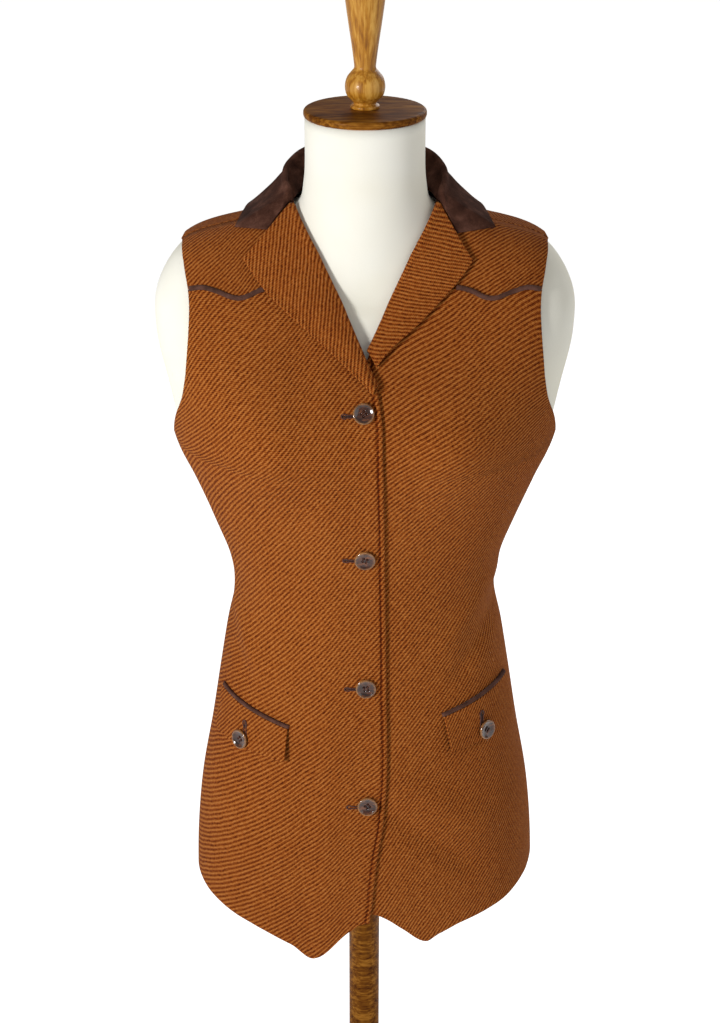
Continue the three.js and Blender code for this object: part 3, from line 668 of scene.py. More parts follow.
def lengths(grid: Array, axis: int) -> Array:
    """Length along a grid's rows (axis 1) or columns (axis 0), from its first line to each point, in mm.

    Args:
        grid: (rows, columns, 3) points.
        axis: 1 or 0.

    Returns:
        (rows, columns) lengths.
    """
    step = np.linalg.norm(np.diff(grid, axis=axis), axis=2)
    start = np.zeros_like(np.take(step, [0], axis=axis))
    return np.concatenate([start, np.cumsum(step, axis=axis)], axis=axis)


def borders(grid: Array) -> tuple[Array, Array, Array, Array]:
    """Distance of each grid point to the first column, last column, first row and last row, in mm.

    Args:
        grid: (rows, columns, 3) points.

    Returns:
        Four (rows, columns) arrays.
    """
    along, up = lengths(grid, 1), lengths(grid, 0)
    return along, along[:, -1:] - along, up, up[-1:] - up


def grid_normal(grid: Array) -> Array:
    """Unit normals of a grid of points, from the differences along its rows and columns.

    Args:
        grid: (rows, columns, 3) points.

    Returns:
        (rows, columns, 3) unit vectors.
    """
    across, up = np.gradient(grid, axis=1), np.gradient(grid, axis=0)
    n = np.cross(across, up)
    return n / np.maximum(np.linalg.norm(n, axis=-1, keepdims=True), 1e-9)


@dataclass(frozen=True)
class Stitching:
    """A sewn line beside an edge: which border, how far in, how deep and wide (mm), and how much painted shade darkens
    its groove.
    """

    border: int
    inset: float
    depth: float = 0.45
    width: float = 0.9
    shade: float = 0.0


HEM_PRESS = Stitching(2, 7.0, 0.12, 2.0)  # the faint line where a hem was pressed


def walled(name: str, middle: Array, normal: Array, uv: Array, finishes: list[Finish], node: str,
           wall: float = WALL, edge: float = 1.0, relief: Array | None = None,
           stitching: tuple[Stitching, ...] = ()) -> bpy.types.Object:
    """Gives a grid of middle points a wall with rounded edges.

    The half wall shrinks as the root of 1 - (1 - d / edge) squared within edge of a border, so a cut edge
    reads as a turned one, and each stitching line presses a bell-shaped groove into the outer side and
    gives it painted shade by its shade value.

    Args:
        name: the object's name.
        middle: (rows, columns, 3) points in mm.
        normal: the grid's outward unit normals.
        uv: (rows, columns, 2) cut coordinates.
        finishes: the outer finish, and the inner one if it has its own.
        node: the solid this piece stands for.
        wall: the wall's thickness.
        edge: the edge's radius.
        relief: how far the outer side is lifted, if it is.
        stitching: grooves beside the borders.

    Returns:
        The object.
    """
    away = borders(middle)
    near = np.minimum(np.minimum(away[0], away[1]), np.minimum(away[2], away[3]))
    half = wall / 2 * np.sqrt(np.clip(1 - (1 - np.clip(near / edge, 0, 1)) ** 2, 0.02, 1))
    lift = np.zeros(near.shape) if relief is None else relief * soft_step(near / 2)
    seam = np.zeros(near.shape)
    for line in stitching:
        bell = np.exp(-(((away[line.border] - line.inset) / (line.width / 2)) ** 2))
        lift = lift - line.depth * bell
        # painted shade along each stitching groove, stored as the seam attribute
        seam = np.maximum(seam, line.shade * bell)
    inner = middle - normal * half[..., None]
    outer = middle + normal * (half + lift)[..., None]
    faces, inside = shell_faces(*middle.shape[:2])
    return make_object(name, both_sides(inner, outer), faces, finishes, node, both_sides(uv, uv), "cut",
                       inside if len(finishes) > 1 else None, np.tile(seam.ravel(), 2))


# ---- the cut ----
class Side(Enum):
    """The wearer's right (towards -X) or left (towards +X)."""

    RIGHT = -1
    LEFT = 1

    @property
    def word(self) -> str:
        """The side's name as the solids use it."""
        return self.name.lower()


def table(*rows: tuple[float, ...]) -> Array:
    """A table of numbers as an array."""
    return np.array(rows, float)


@dataclass(frozen=True)
class Grain:
    """How a twill piece lies on its cord direction: the cords' angle from level at given heights (degrees)."""

    angles: tuple[tuple[float, float], ...]
    spacing: float  # mm from cord to cord
    ease: float = 0.0  # how much flatter the cords lie for each mm away from the middle
    middle: float = 0.0

    def map(self, x: Array, up: Array) -> Array:
        """Cut coordinates counted in cords: across is the sum of cos(angle) up the piece less x sin(angle).

        Args:
            x: place across the flat cut, in mm.
            up: place up the flat cut, in mm.

        Returns:
            (..., 2) coordinates, across and along the cords.
        """
        rows = table(*self.angles)
        heights = np.linspace(250, 1120, 436)
        turn = np.radians(np.interp(heights, rows[:, 0], rows[:, 1]))
        step = heights[1] - heights[0]
        cosines, sines = (np.concatenate([[0], np.cumsum((w[1:] + w[:-1]) / 2 * step)])
                          for w in (np.cos(turn), np.sin(turn)))
        here = np.interp(up, heights, turn)
        across = np.interp(up, heights, cosines) - x * np.sin(here) + self.ease * (x - self.middle) ** 2 / 2
        along = np.interp(up, heights, sines) + x * np.cos(here)
        return np.stack([across, along], axis=-1) / self.spacing


@dataclass
class Vest:
    """The whole garment's cut: edges read as (x, z) or (z, x) tables in mm, one set for both sides."""

    hem_z: dict[Side, Array] = field(default_factory=lambda: {
        Side.RIGHT: table((-6, 368), (12, 359), (46, 324.5), (68, 335.5), (100, 346.5), (123, 352), (147, 358),
                          (161, 362)),
        Side.LEFT: table((-20, 378), (6, 375), (16, 371.5), (34, 358.5), (56, 341.5), (68, 347), (87, 354.5),
                         (113, 359.5), (133, 363.5), (154, 372), (161, 376))})
    hem_back: Array = field(default_factory=lambda: table((-161, 362), (-100, 362), (0, 365), (100, 368), (161, 376)))
    lap_edge: Array = field(default_factory=lambda: table(
        (371, 5), (384, 7), (434, 11.5), (474, 17.5), (535, 20), (595, 19), (815, 16), (858, 15), (873, 13), (884, 11)))
    roll: Array = field(default_factory=lambda: table((884, -11), (985, 41), (1018, 61)))
    armhole_front: Array = field(default_factory=lambda: table(
        (815, 166), (826, 165), (846, 161.5), (868, 154.5), (890, 150.5), (932, 147.2), (954, 147.5), (976, 152),
        (987, 154.5)))
    armhole_back: Array = field(default_factory=lambda: table(
        (815, 166), (830, 165), (855, 158), (885, 151), (925, 148), (960, 151), (983, 154.5)))
    yoke_seam: Array = field(default_factory=lambda: table(
        (24, 957), (60, 960), (78, 961), (89, 958.5), (100, 954), (109, 953.6), (122, 957.5), (135, 960), (149, 957.5)))
    underarm: float = 815.0
    yoke_z: float = 957.5
    tip_z: float = 987.0
    neck_z: float = 1018.0
    neck_back_z: float = 1031.0
    roll_end: float = 1018.0
    lap_lift: float = 3.4
    under_reach: float = 17.0
    seam_gap: float = 0.15

    def roll_x(self, z: Array) -> Array:
        """How far from the middle the roll edge lies at height z."""
        return straight(self.roll, z)

    def edge_x(self, side: Side, z: Array) -> Array:
        """The inner edge of a front, measured towards its own side.

        Args:
            side: which front.
            z: the height.

        Returns:
            x in mm.
        """
        if side is Side.RIGHT:
            return np.where(z < 884, -eased(self.lap_edge, z), self.roll_x(z))
        return np.where(z < 907, mix(-self.under_reach, 1, soft_step((z - 862) / 45)), self.roll_x(z))

    def rise(self, side: Side, x: Array, z: Array) -> Array:
        """How far the lapping front's inner face stands off the shape: full at the edge, gone by x 62 and z 965.

        Args:
            side: which front.
            x: signed x.
            z: the height.

        Returns:
            The rise in mm.
        """
        if side is Side.LEFT:
            return np.zeros(np.broadcast(x, z).shape)
        return self.lap_lift * soft_step((62 - x * side.value) / 36) * soft_step((965 - z) / 45)

    def side_angle(self, z: Array) -> Array:
        """The angle of a front's outer edge: side seam, then armhole.

        Args:
            z: the height.

        Returns:
            Unsigned angles.
        """
        hole = SHAPE.angle_at(eased(self.armhole_front, z), z)
        return np.where(z <= self.underarm, QUARTER - SEAM_TURN, np.minimum(QUARTER - SEAM_TURN, hole))

    def across_front(self, side: Side, u: Array, v: Array, inner: Array, lower: Array, upper: Array
                     ) -> tuple[Array, Array]:
        """The angle and height at places u across and v up a front.

        Args:
            side: which front; not used.
            u: 0 at the inner edge, 1 at the outer one.
            v: 0 at the lower line, 1 at the upper one.
            inner: (z, angle) table of the inner edge.
            lower: (x, z) table of the lower line.
            upper: (x, z) table of the upper line.

        Returns:
            Unsigned angles and heights; the height is found in four rounds, since the lines are given over x.
        """
        heights = np.linspace(310, 1025, 400)
        outer = self.side_angle(heights)
        z = mix(365.0, self.yoke_z, v)
        angle = np.zeros_like(z)
        for _ in range(4):
            angle = mix(np.interp(z, inner[:, 0], inner[:, 1]), np.interp(z, heights, outer), u)
            own = SHAPE.at(angle, z)[..., 0]
            z = mix(eased(lower, own), eased(upper, own), v)
        return angle, z

    def edge_table(self, side: Side | None) -> Array:
        """(z, angle) of a front's inner edge, or of the roll edge alone where side is None.

        Args:
            side: which front, or None.

        Returns:
            (400, 2) rows.
        """
        z = np.linspace(310, 1025, 400)
        x = self.roll_x(z) if side is None else self.edge_x(side, z)
        return np.stack([z, SHAPE.angle_at(x, z)], axis=-1)

    def on(self, side: Side, x: Array, z: Array, out: Array) -> Array:
        """A point over a front at x (towards its own side) and z, out from the shape, with the lap's rise.

        Args:
            side: which front.
            x: x towards its own side.
            z: the height.
            out: how far out, in mm.

        Returns:
            (..., 3) points in mm.
        """
        signed = x * side.value
        return SHAPE.cloth(SHAPE.angle_at(signed, z), z, out + self.rise(side, signed, z))


VEST = Vest()


def dressed(name: str, angle: Array, z: Array, base: Array, grain: Grain, wall: float = WALL,
            stitching: tuple[Stitching, ...] = (), anchor: int = 0) -> bpy.types.Object:
    """A twill panel on the shape: a walled grid of angles and heights whose cut is measured along its own surface.

    Args:
        name: the solid's name, which the piece takes with _cloth added.
        angle: (rows, columns) signed angles.
        z: (rows, columns) heights.
        base: how far the inner face stands off the shape.
        grain: how the cords lie.
        wall: the thickness.
        stitching: grooves beside the borders.
        anchor: the column from which the cut is measured across.

    Returns:
        The object.
    """
    point = SHAPE.at(angle, z)
    normal = SHAPE.normal(angle, z)
    crumple = CRUMPLE * ripple(point[..., 0] / 26, point[..., 2] / 34, 7) * soft_step(np.abs(point[..., 1]) / 30)
    middle = point + normal * (base + wall / 2 + SHAPE.fold_lift(point) + crumple)[..., None]
    way = np.sign((middle[:, -1, 0] - middle[:, 0, 0]).mean())
    run = lengths(middle, 1)
    x = middle[:, anchor, 0][:, None] + way * (run - run[:, anchor][:, None])
    up = middle[:1, :, 2] + lengths(middle, 0)
    return walled(name + "_cloth", middle, normal, grain.map(x, up), [TWILL, SATIN], name, wall,
                  stitching=stitching)


@dataclass
class Fronts:
    """The two fronts, from the pointed hem to the piped yoke seam, and the yokes above them."""

    grains: dict[Side, Grain] = field(default_factory=lambda: {
        Side.RIGHT: Grain(((400, 37), (520, 38), (640, 46), (760, 50), (860, 44)), 3.65, -0.0018, -80.0),
        Side.LEFT: Grain(((400, 54), (600, 50), (740, 50), (860, 42)), 3.4)})
    yoke_grains: dict[Side, Grain] = field(default_factory=lambda: {
        Side.RIGHT: Grain(((900, 49), (1000, 49)), 2.8), Side.LEFT: Grain(((900, 36), (1000, 36)), 3.1)})
    # along the edge a raised roll, then the sewn groove beside it, darkened with painted shade
    lines: tuple[Stitching, ...] = (Stitching(0, 2.2, -0.55, 2.8), Stitching(0, 4.6, 0.9, 1.5, 0.75), HEM_PRESS)
    columns: int = 96
    rows: int = 250

    def front(self, side: Side) -> bpy.types.Object:
        """One front: a grid between its edge, side seam, hem and yoke seam, with a pressed edge line.

        Args:
            side: which front.

        Returns:
            The object.
        """
        u, v = np.meshgrid(graded(self.columns), graded(self.rows), indexing="xy")
        top = VEST.yoke_seam - np.array([0, VEST.seam_gap])
        angle, z = VEST.across_front(side, u, v, VEST.edge_table(side), VEST.hem_z[side], top)
        signed = angle * side.value
        base = VEST.rise(side, SHAPE.at(signed, z)[..., 0], z)
        made = dressed(f"front_{side.word}", signed, z, base, self.grains[side], stitching=self.lines)
        return made

    def yoke(self, side: Side) -> bpy.types.Object:
        """One yoke: a patch between the yoke seam, the roll edge, the armhole and the shoulder seam.

        The patch blends its four edges (bottom and top by the rise, inner and outer by the turn) and takes
        away the blend of its corners, in the plane of angle and height.

        Args:
            side: which front.

        Returns:
            The object.
        """
        u, v = graded(70), graded(64)
        lower = VEST.yoke_seam + np.array([0, VEST.seam_gap])
        roll = VEST.edge_table(None)
        closer = closing(v)
        ba, bz = VEST.across_front(side, u, np.zeros_like(u), roll, lower, lower)
        ta, tz = np.full_like(u, QUARTER - SEAM_TURN), mix(VEST.neck_z, VEST.tip_z, u)
        iz, oz = mix(bz[0], VEST.neck_z, closer), mix(bz[-1], VEST.tip_z, closer)
        ia = np.where(v > 0.98, QUARTER - SEAM_TURN, SHAPE.angle_at(VEST.roll_x(iz), iz))
        oa = np.where(v > 0.98, QUARTER - SEAM_TURN, SHAPE.angle_at(eased(VEST.armhole_front, oz), oz))
        angle = coons(ba, ta, ia, oa, u, v)
        z = coons(bz, tz, iz, oz, u, closer)
        signed = angle * side.value
        base = VEST.rise(side, SHAPE.at(signed, z)[..., 0], z)
        made = dressed(f"yoke_{side.word}", signed, z, base, self.yoke_grains[side])
        return made

    def make(self) -> None:
        """Builds both fronts and both yokes."""
        for side in Side:
            self.front(side)
            self.yoke(side)


def coons(bottom: Array, top: Array, inner: Array, outer: Array, u: Array, w: Array) -> Array:
    """A patch's value at (w up, u across) from its edges: bottom to top plus inner to outer less the corners.

    Args:
        bottom: values along the lower edge.
        top: along the upper edge.
        inner: up the inner edge.
        outer: up the outer edge.
        u: shares across.
        w: shares up.

    Returns:
        (len(w), len(u)) values.
    """
    up, across = w[:, None], u[None, :]
    corners = mix(mix(bottom[0], bottom[-1], across), mix(top[0], top[-1], across), up)
    return mix(bottom[None, :], top[None, :], up) + mix(inner[:, None], outer[:, None], across) - corners


@dataclass
class Back:
    """The back, in one piece from side seam to side seam, with its neckline and armholes."""

    grain: Grain = Grain(((400, 45), (900, 45)), 3.6)
    corner: float = 0.72
    shoulder_share: float = 0.27

    def make(self) -> bpy.types.Object:
        """A patch over (angle, height) whose rows close in on the shoulder, as the front's do.

        Returns:
            The object.
        """
        v = np.concatenate([graded(170, 0, self.corner, 0.5), graded(90, self.corner, 1, 0.7)[1:]])
        above = np.maximum(0, (v - self.corner) / (1 - self.corner))
        closer = closing(above)
        rise = np.where(v < self.corner, v, mix(self.corner, 1, closer))
        turn = above**1.6
        seam = QUARTER + SEAM_TURN
        u = graded(170, pull=0.7)
        bottom_angle = mix(seam, 2 * math.pi - seam, u)
        bottom_z = eased(VEST.hem_back, SHAPE.point(bottom_angle, 1.0)[..., 0])
        half = np.minimum(u, 1 - u)
        on_neck = np.clip((half - self.shoulder_share) / (0.5 - self.shoulder_share), 0, 1)
        top_half = mix(seam, math.pi, on_neck)
        top_angle = np.where(u > 0.5, 2 * math.pi - top_half, top_half)
        neck = mix(VEST.neck_z, VEST.neck_back_z, np.cos(top_half) ** 2)
        top_z = np.where(half <= self.shoulder_share, mix(VEST.tip_z, VEST.neck_z, half / self.shoulder_share), neck)

        def side_edge(hem: float) -> tuple[Array, Array]:
            """The side seam up to the underarm, then the armhole up to the shoulder's tip.

            Args:
                hem: the height of the hem there.

            Returns:
                Angles and heights.
            """
            below = mix(hem, VEST.underarm, v / self.corner)
            z = np.where(v <= self.corner, below, mix(VEST.underarm, VEST.tip_z, closer))
            hole = np.maximum(seam, SHAPE.angle_at(eased(VEST.armhole_back, z), z, back=True))
            return np.where((v <= self.corner) | (v > 0.995), seam, hole), z

        right_hem, left_hem = VEST.hem_back[0, 1], VEST.hem_back[-1, 1]
        la, lz = side_edge(left_hem)
        ra, rz = side_edge(right_hem)
        angle = coons(bottom_angle, top_angle, la, 2 * math.pi - ra, u, turn)
        z = coons(bottom_z, top_z, lz, rz, u, rise)
        made = dressed("back", angle, z, np.zeros_like(z), self.grain, stitching=(HEM_PRESS,), anchor=len(u) // 2)
        return made


@dataclass
class Lapels:
    """The notched lapels: the front's wall turned round the roll edge and laid back over it."""

    outer: dict[Side, Array] = field(default_factory=lambda: {
        Side.RIGHT: table((882, -6.5), (896, 9.5), (924, 43.3), (955, 80), (981, 102)),
        Side.LEFT: table((902, 9.5), (915, 22), (935, 46.6), (963, 75.8), (979.5, 90))})
    start: dict[Side, float] = field(default_factory=lambda: {Side.RIGHT: 887.0, Side.LEFT: 912.0})
    notch_x: dict[Side, float] = field(default_factory=lambda: {Side.RIGHT: 81.0, Side.LEFT: 76.0})
    turn: Array = field(default_factory=lambda: table((-2.2, 0.3), (-2.7, 1.7), (-1.8, 3.4), (0.5, 4.6)))
    rise: float = 3.3
    swell: float = 1.6
    spring: dict[Side, float] = field(default_factory=lambda: {Side.RIGHT: 1.5, Side.LEFT: 3.2})
    grains: dict[Side, Grain] = field(default_factory=lambda: {
        Side.RIGHT: Grain(((850, 88), (1000, 84)), 3.0), Side.LEFT: Grain(((880, 4), (990, -12)), 2.9)})

    def lay(self, k: Array) -> Array:
        """The height over the front at the share k of the width: a half sine that ends before the free edge."""
        return self.rise + 1 + self.swell * np.sin(np.pi * np.minimum(1, k * 1.15))

    def across(self, side: Side, x0: Array, z0: Array, x1: Array, z1: Array, turns: int, lays: int) -> Array:
        """The wall's middle points across a turned edge, from the roll edge to the free end.

        Args:
            side: which front.
            x0: the roll edge's x in each row, towards its own side.
            z0: its height.
            x1: the free end's x.
            z1: its height.
            turns: points round the turn.
            lays: points on the part that lies back.

        Returns:
            (rows, turns + lays, 3) points; the part that lies back springs off towards its free
            edge, most near the break.
        """
        width = np.hypot(x1 - x0, z1 - z0)[:, None]
        bend = catmull(self.turn, np.linspace(0, 3, turns))
        k = graded(lays, pull=0.6)[1:]
        shift = np.concatenate([np.broadcast_to(bend[:, 0], (len(x0), turns)),
                                mix(self.turn[-1, 0], width, k[None, :])], axis=1)
        lay = self.lay(k)
        rows = np.linspace(0, 1, len(x0))[:, None]
        spring = self.spring[side] * soft_step(rows / 0.15) * (1 - 0.75 * rows) * k[None, :] ** 1.5
        lift = np.concatenate([np.broadcast_to(bend[:, 1], (len(x0), turns)), lay[None, :] + spring], axis=1)
        x = mix(x0[:, None], x1[:, None], shift / width)
        z = mix(z0[:, None], z1[:, None], shift / width)
        return VEST.on(side, x, z, np.broadcast_to(lift, x.shape))

    def lapel(self, side: Side) -> bpy.types.Object:
        """One lapel from the break to the notch.

        Args:
            side: which front.

        Returns:
            The object.
        """
        u = graded(110, pull=0.6)
        z0 = mix(self.start[side], VEST.roll_end, u)
        free = catmull(self.outer[side], u * (len(self.outer[side]) - 1))
        middle = self.across(side, VEST.roll_x(z0), z0, free[:, 1], free[:, 0], 10, 48)
        normal = grid_normal(middle) * -side.value
        uv = self.grains[side].map(middle[..., 0], middle[..., 2])
        made = walled(f"lapel_{side.word}_cloth", middle, normal, uv, [TWILL], f"lapel_{side.word}",
                      edge=1.1)
        return made

    def make(self) -> None:
        """Builds both lapels."""
        for side in Side:
            self.lapel(side)


@dataclass
class Collar:
    """The suede collar: a stand from the neckline, a fold, and a fall over the shoulders, ending at the notches."""

    # seam x, seam z, fold x, y, z, edge x, edge z, face, stand-off of the edge (mm)
    stations: Array = field(default_factory=lambda: table(
        (61, 1019.4, 64, -5, 1031, 109, 999.5, -1, 4.5), (63, 1019.8, 67.5, 9, 1038, 101, 1002.6, 1, 4.8),
        (60, 1023, 66, 27, 1045, 93, 1004, 1, 5.4), (47, 1028, 54, 47, 1052, 74, 1003, 1, 5.4),
        (26, 1031.8, 30, 62, 1056.5, 44, 1003, 1, 5), (0, 1032.4, 0, 67, 1058, 0, 1002, 1, 5)))
    swell: float = 1.2
    hang: float = 1.3
    gap: float = 0.7

    def station(self, values: Array, sign: float) -> Array:
        """The eleven middle points of one row: seam, stand, four round the fold, four down the fall, edge.

        Args:
            values: a row of stations.
            sign: -1 for the wearer's right, 1 for the left.

        Returns:
            (11, 3) points in mm.
        """
        seam_x, seam_z, fold_x, fold_y, fold_z, edge_x, edge_z, face, stand = values

        def on(x: float, z: float, out: float) -> Array:
            """A point over the yoke or back."""
            angle = SHAPE.angle_at(np.array(x), np.array(z), back=face > 0) * sign
            return SHAPE.cloth(angle, np.array(z), np.array(out))

        seam, edge = on(seam_x, seam_z, 2.0), on(edge_x, edge_z, stand)
        fold = np.array([fold_x * sign, fold_y, fold_z])
        outward = (edge - seam) * [1, 1, 0]
        outward = outward / np.linalg.norm(outward)
        bend = [fold + outward * a + [0, 0, b] for a, b in ((-1.8, -3), (-1.5, -0.4), (0, 1), (1.9, 0))]
        shares = (0.14, 0.35, 0.6, 0.82)
        bulge = [np.sin(np.pi * k) * self.swell for k in shares]
        fall = [mix(fold, edge, np.array([k**self.hang, k**self.hang, k])) + outward * b + [0, 0, 0.7 * b]
                for k, b in zip(shares, bulge)]
        return np.stack([seam, mix(seam, fold, 0.5), *bend, *fall, edge])

    def gorge(self, side: Side, lapels: Lapels) -> Array:
        """The collar's end row, which lies along the lapel's top edge, a little above it.

        Args:
            side: which front.
            lapels: the lapels it meets.

        Returns:
            (11, 3) points in mm.
        """
        z1, x1 = lapels.outer[side][-1]
        x0, z0 = float(VEST.roll_x(np.array(VEST.roll_end))), VEST.roll_end
        length = math.hypot(x1 - x0, z1 - z0)
        off = np.array([-(z1 - z0), x1 - x0]) / length * self.gap
        notch = lapels.notch_x[side]
        notch_z = mix(z0, z1, (notch - x0) / (x1 - x0))
        k = np.linspace(0, 1, 8)[1:]
        width = math.hypot(notch - x0, notch_z - z0)
        shift = np.concatenate([lapels.turn[:, 0], mix(lapels.turn[-1, 0], width, k)])
        lift = np.concatenate([lapels.turn[:, 1], lapels.lay(k)])
        x = mix(x0, notch, shift / width) + off[0]
        z = mix(z0, notch_z, shift / width) + off[1]
        return VEST.on(side, x, z, lift)

    def half(self, side: Side, lapels: Lapels, count: int) -> Array:
        """Rows from the notch to the middle of the back along a Catmull-Rom curve through the stations.

        Args:
            side: which front.
            lapels: the lapels it meets.
            count: rows, less one.

        Returns:
            (count + 1, 11, 3) points in mm.
        """
        rows = [self.gorge(side, lapels), *(self.station(s, side.value) for s in self.stations),
                self.station(self.stations[-2], -side.value)]
        flat = np.stack(rows).reshape(len(rows), -1)
        places = np.concatenate([graded(count // 4, 0, 1, 0.5), graded(count - count // 4, 1, len(rows) - 2, 0.3)[1:]])
        smooth = catmull(flat, places).reshape(count + 1, -1, 3)
        cornered = catmull(np.concatenate([2 * flat[1:2] - flat[2:3], flat[1:]]), places).reshape(smooth.shape)
        cornered = np.where(places[:, None, None] < 1, mix(rows[0], rows[1], places[:, None, None]), cornered)
        return mix(smooth, cornered, soft_step(np.linspace(-0.6, 1, smooth.shape[1]))[None, :, None])

    def make(self, lapels: Lapels) -> bpy.types.Object:
        """The whole collar, from one notch round the neck to the other.

        Args:
            lapels: the lapels it meets.

        Returns:
            The object.
        """
        right, left = self.half(Side.RIGHT, lapels, 110), self.half(Side.LEFT, lapels, 110)
        rows = knotted(np.concatenate([right, left[-2::-1]]), 64)
        normal = grid_normal(rows)
        up = normal[..., 2].sum()
        normal = normal if up > 0 else -normal
        nap = 0.25 * ripple(rows[..., 0] / 7, rows[..., 1] / 7, 3)
        cut = np.stack([lengths(rows, 0), lengths(rows, 1)], axis=-1) * MM
        made = walled("collar_suede", rows, normal, cut, [SUEDE], "collar", edge=1.0, relief=nap)
        return made


def cord_strip(name: str, side: Side, x: Array, z: Array, base: float, width: float, height: float, node: str,
               finish: Finish, waver: float = 0.08) -> bpy.types.Object:
    """A half-round cord that lies on a front along a path.

    Its section is half an ellipse: height times the root of 1 - k squared at k across, on a thin flat foot.

    Args:
        name: the object's name.
        side: which front.
        x: the path's x, towards its own side.
        z: the path's heights.
        base: how far its underside lies off the shape.
        width: its width.
        height: its height.
        node: the solid it stands for.
        finish: its finish.
        waver: how unevenly it lies, as a share of its width.

    Returns:
        The object.
    """
    k = np.sin(np.linspace(-QUARTER, QUARTER, 15))
    path = np.stack([x, z], axis=-1)
    along = np.gradient(path, axis=0)
    along /= np.linalg.norm(along, axis=1, keepdims=True)
    off = np.stack([-along[:, 1], along[:, 0]], axis=-1)
    distance = np.concatenate([[0], np.cumsum(np.linalg.norm(np.diff(path, axis=0), axis=1))])
    uneven = waver * ripple(distance / 5, distance * 0, 11)
    grid = path[:, None] + off[:, None] * (k[None, :, None] + uneven[:, None, None]) * width / 2
    end = np.minimum(distance, distance[-1] - distance)
    taper = np.sqrt(np.clip(1 - (1 - np.clip(end / 1.2, 0, 1)) ** 2, 0.05, 1))
    lift = height * (0.35 + 0.65 * np.sqrt(1 - 0.98 * k**2))[None, :] * (taper * (1 + uneven))[:, None]
    inner = VEST.on(side, grid[..., 0], grid[..., 1], np.full(lift.shape, base))
    outer = VEST.on(side, grid[..., 0], grid[..., 1], base + lift)
    faces, _ = shell_faces(*lift.shape)
    flat = np.stack(np.broadcast_arrays(k[None, :] * width / 2, distance[:, None]), axis=-1)
    return make_object(name, both_sides(inner, outer), faces, [finish], node, both_sides(flat, flat), "turn")


@dataclass
class Pockets:
    """The two pocket flaps with their corded top edge and the yokes' piping."""

    # inner and outer corners of the top and bottom, as (x, z)
    corners: dict[Side, Array] = field(default_factory=lambda: {
        Side.RIGHT: table((68, 560.5), (127, 573.6), (69.5, 529), (134, 530)),
        Side.LEFT: table((69.5, 572), (126, 585.5), (75.5, 537), (133, 540))})
    kick: float = 0.9
    flare: float = 4.0
    cord_width: float = 3.4
    cord_gap: float = 2.7
    grains: dict[Side, Grain] = field(default_factory=lambda: {
        Side.RIGHT: Grain(((400, 44), (600, 44)), 3.1), Side.LEFT: Grain(((400, 58), (600, 58)), 2.9)})
    piping_start: dict[Side, float] = field(default_factory=lambda: {Side.RIGHT: 84.0, Side.LEFT: 76.0})

    def at(self, side: Side, u: Array, v: Array) -> tuple[Array, Array]:
        """The flap's (x, z) at u across and v up, straight between its four corners.

        Args:
            side: which front.
            u: shares across.
            v: shares up.

        Returns:
            x and z in mm.
        """
        top_in, top_out, low_in, low_out = self.corners[side]
        u, v = u[..., None], v[..., None]
        both = mix(mix(low_in, low_out, u), mix(top_in, top_out, u), v)
        return both[..., 0], both[..., 1]

    def flap(self, side: Side) -> bpy.types.Object:
        """One flap: a wall that stands a little further off at its lower edge, with rounded turned edges.

        Args:
            side: which front.

        Returns:
            The object.
        """
        u, v = np.meshgrid(graded(84), graded(60))
        x, z = self.at(side, u, v)
        corner = self.flare * (1 - v) * np.clip(1 - 2.2 * u, 0, 1) ** 1.5
        base = WALL + STAND_OFF + self.kick * (1 - v) + corner + VEST.rise(side, x * side.value, z)
        angle = SHAPE.angle_at(x * side.value, z)
        made = dressed(f"pocket_flap_{side.word}", angle, z, base, self.grains[side],
                       stitching=(Stitching(0, 2.6, 0.15), Stitching(2, 2.6, 0.15)))
        return made

    def make(self) -> None:
        """Builds the flaps, their cords, and the cords along the yoke seams."""
        onto = WALL + STAND_OFF
        for side in Side:
            self.flap(side)
            u = np.linspace(-0.02, 0.99, 90)
            x, z = self.at(side, u, np.ones_like(u))
            cord_strip(f"flap_cord_{side.word}", side, x, z + self.cord_gap - 0.6, onto, self.cord_width, 2.8,
                       f"flap_piping_{side.word}", PIPING)
            x = np.linspace(self.piping_start[side], 146.6, 110)
            cord_strip(f"yoke_cord_{side.word}", side, x, eased(VEST.yoke_seam, x), onto, self.cord_width, 2.2,
                       f"yoke_piping_{side.word}", PIPING)


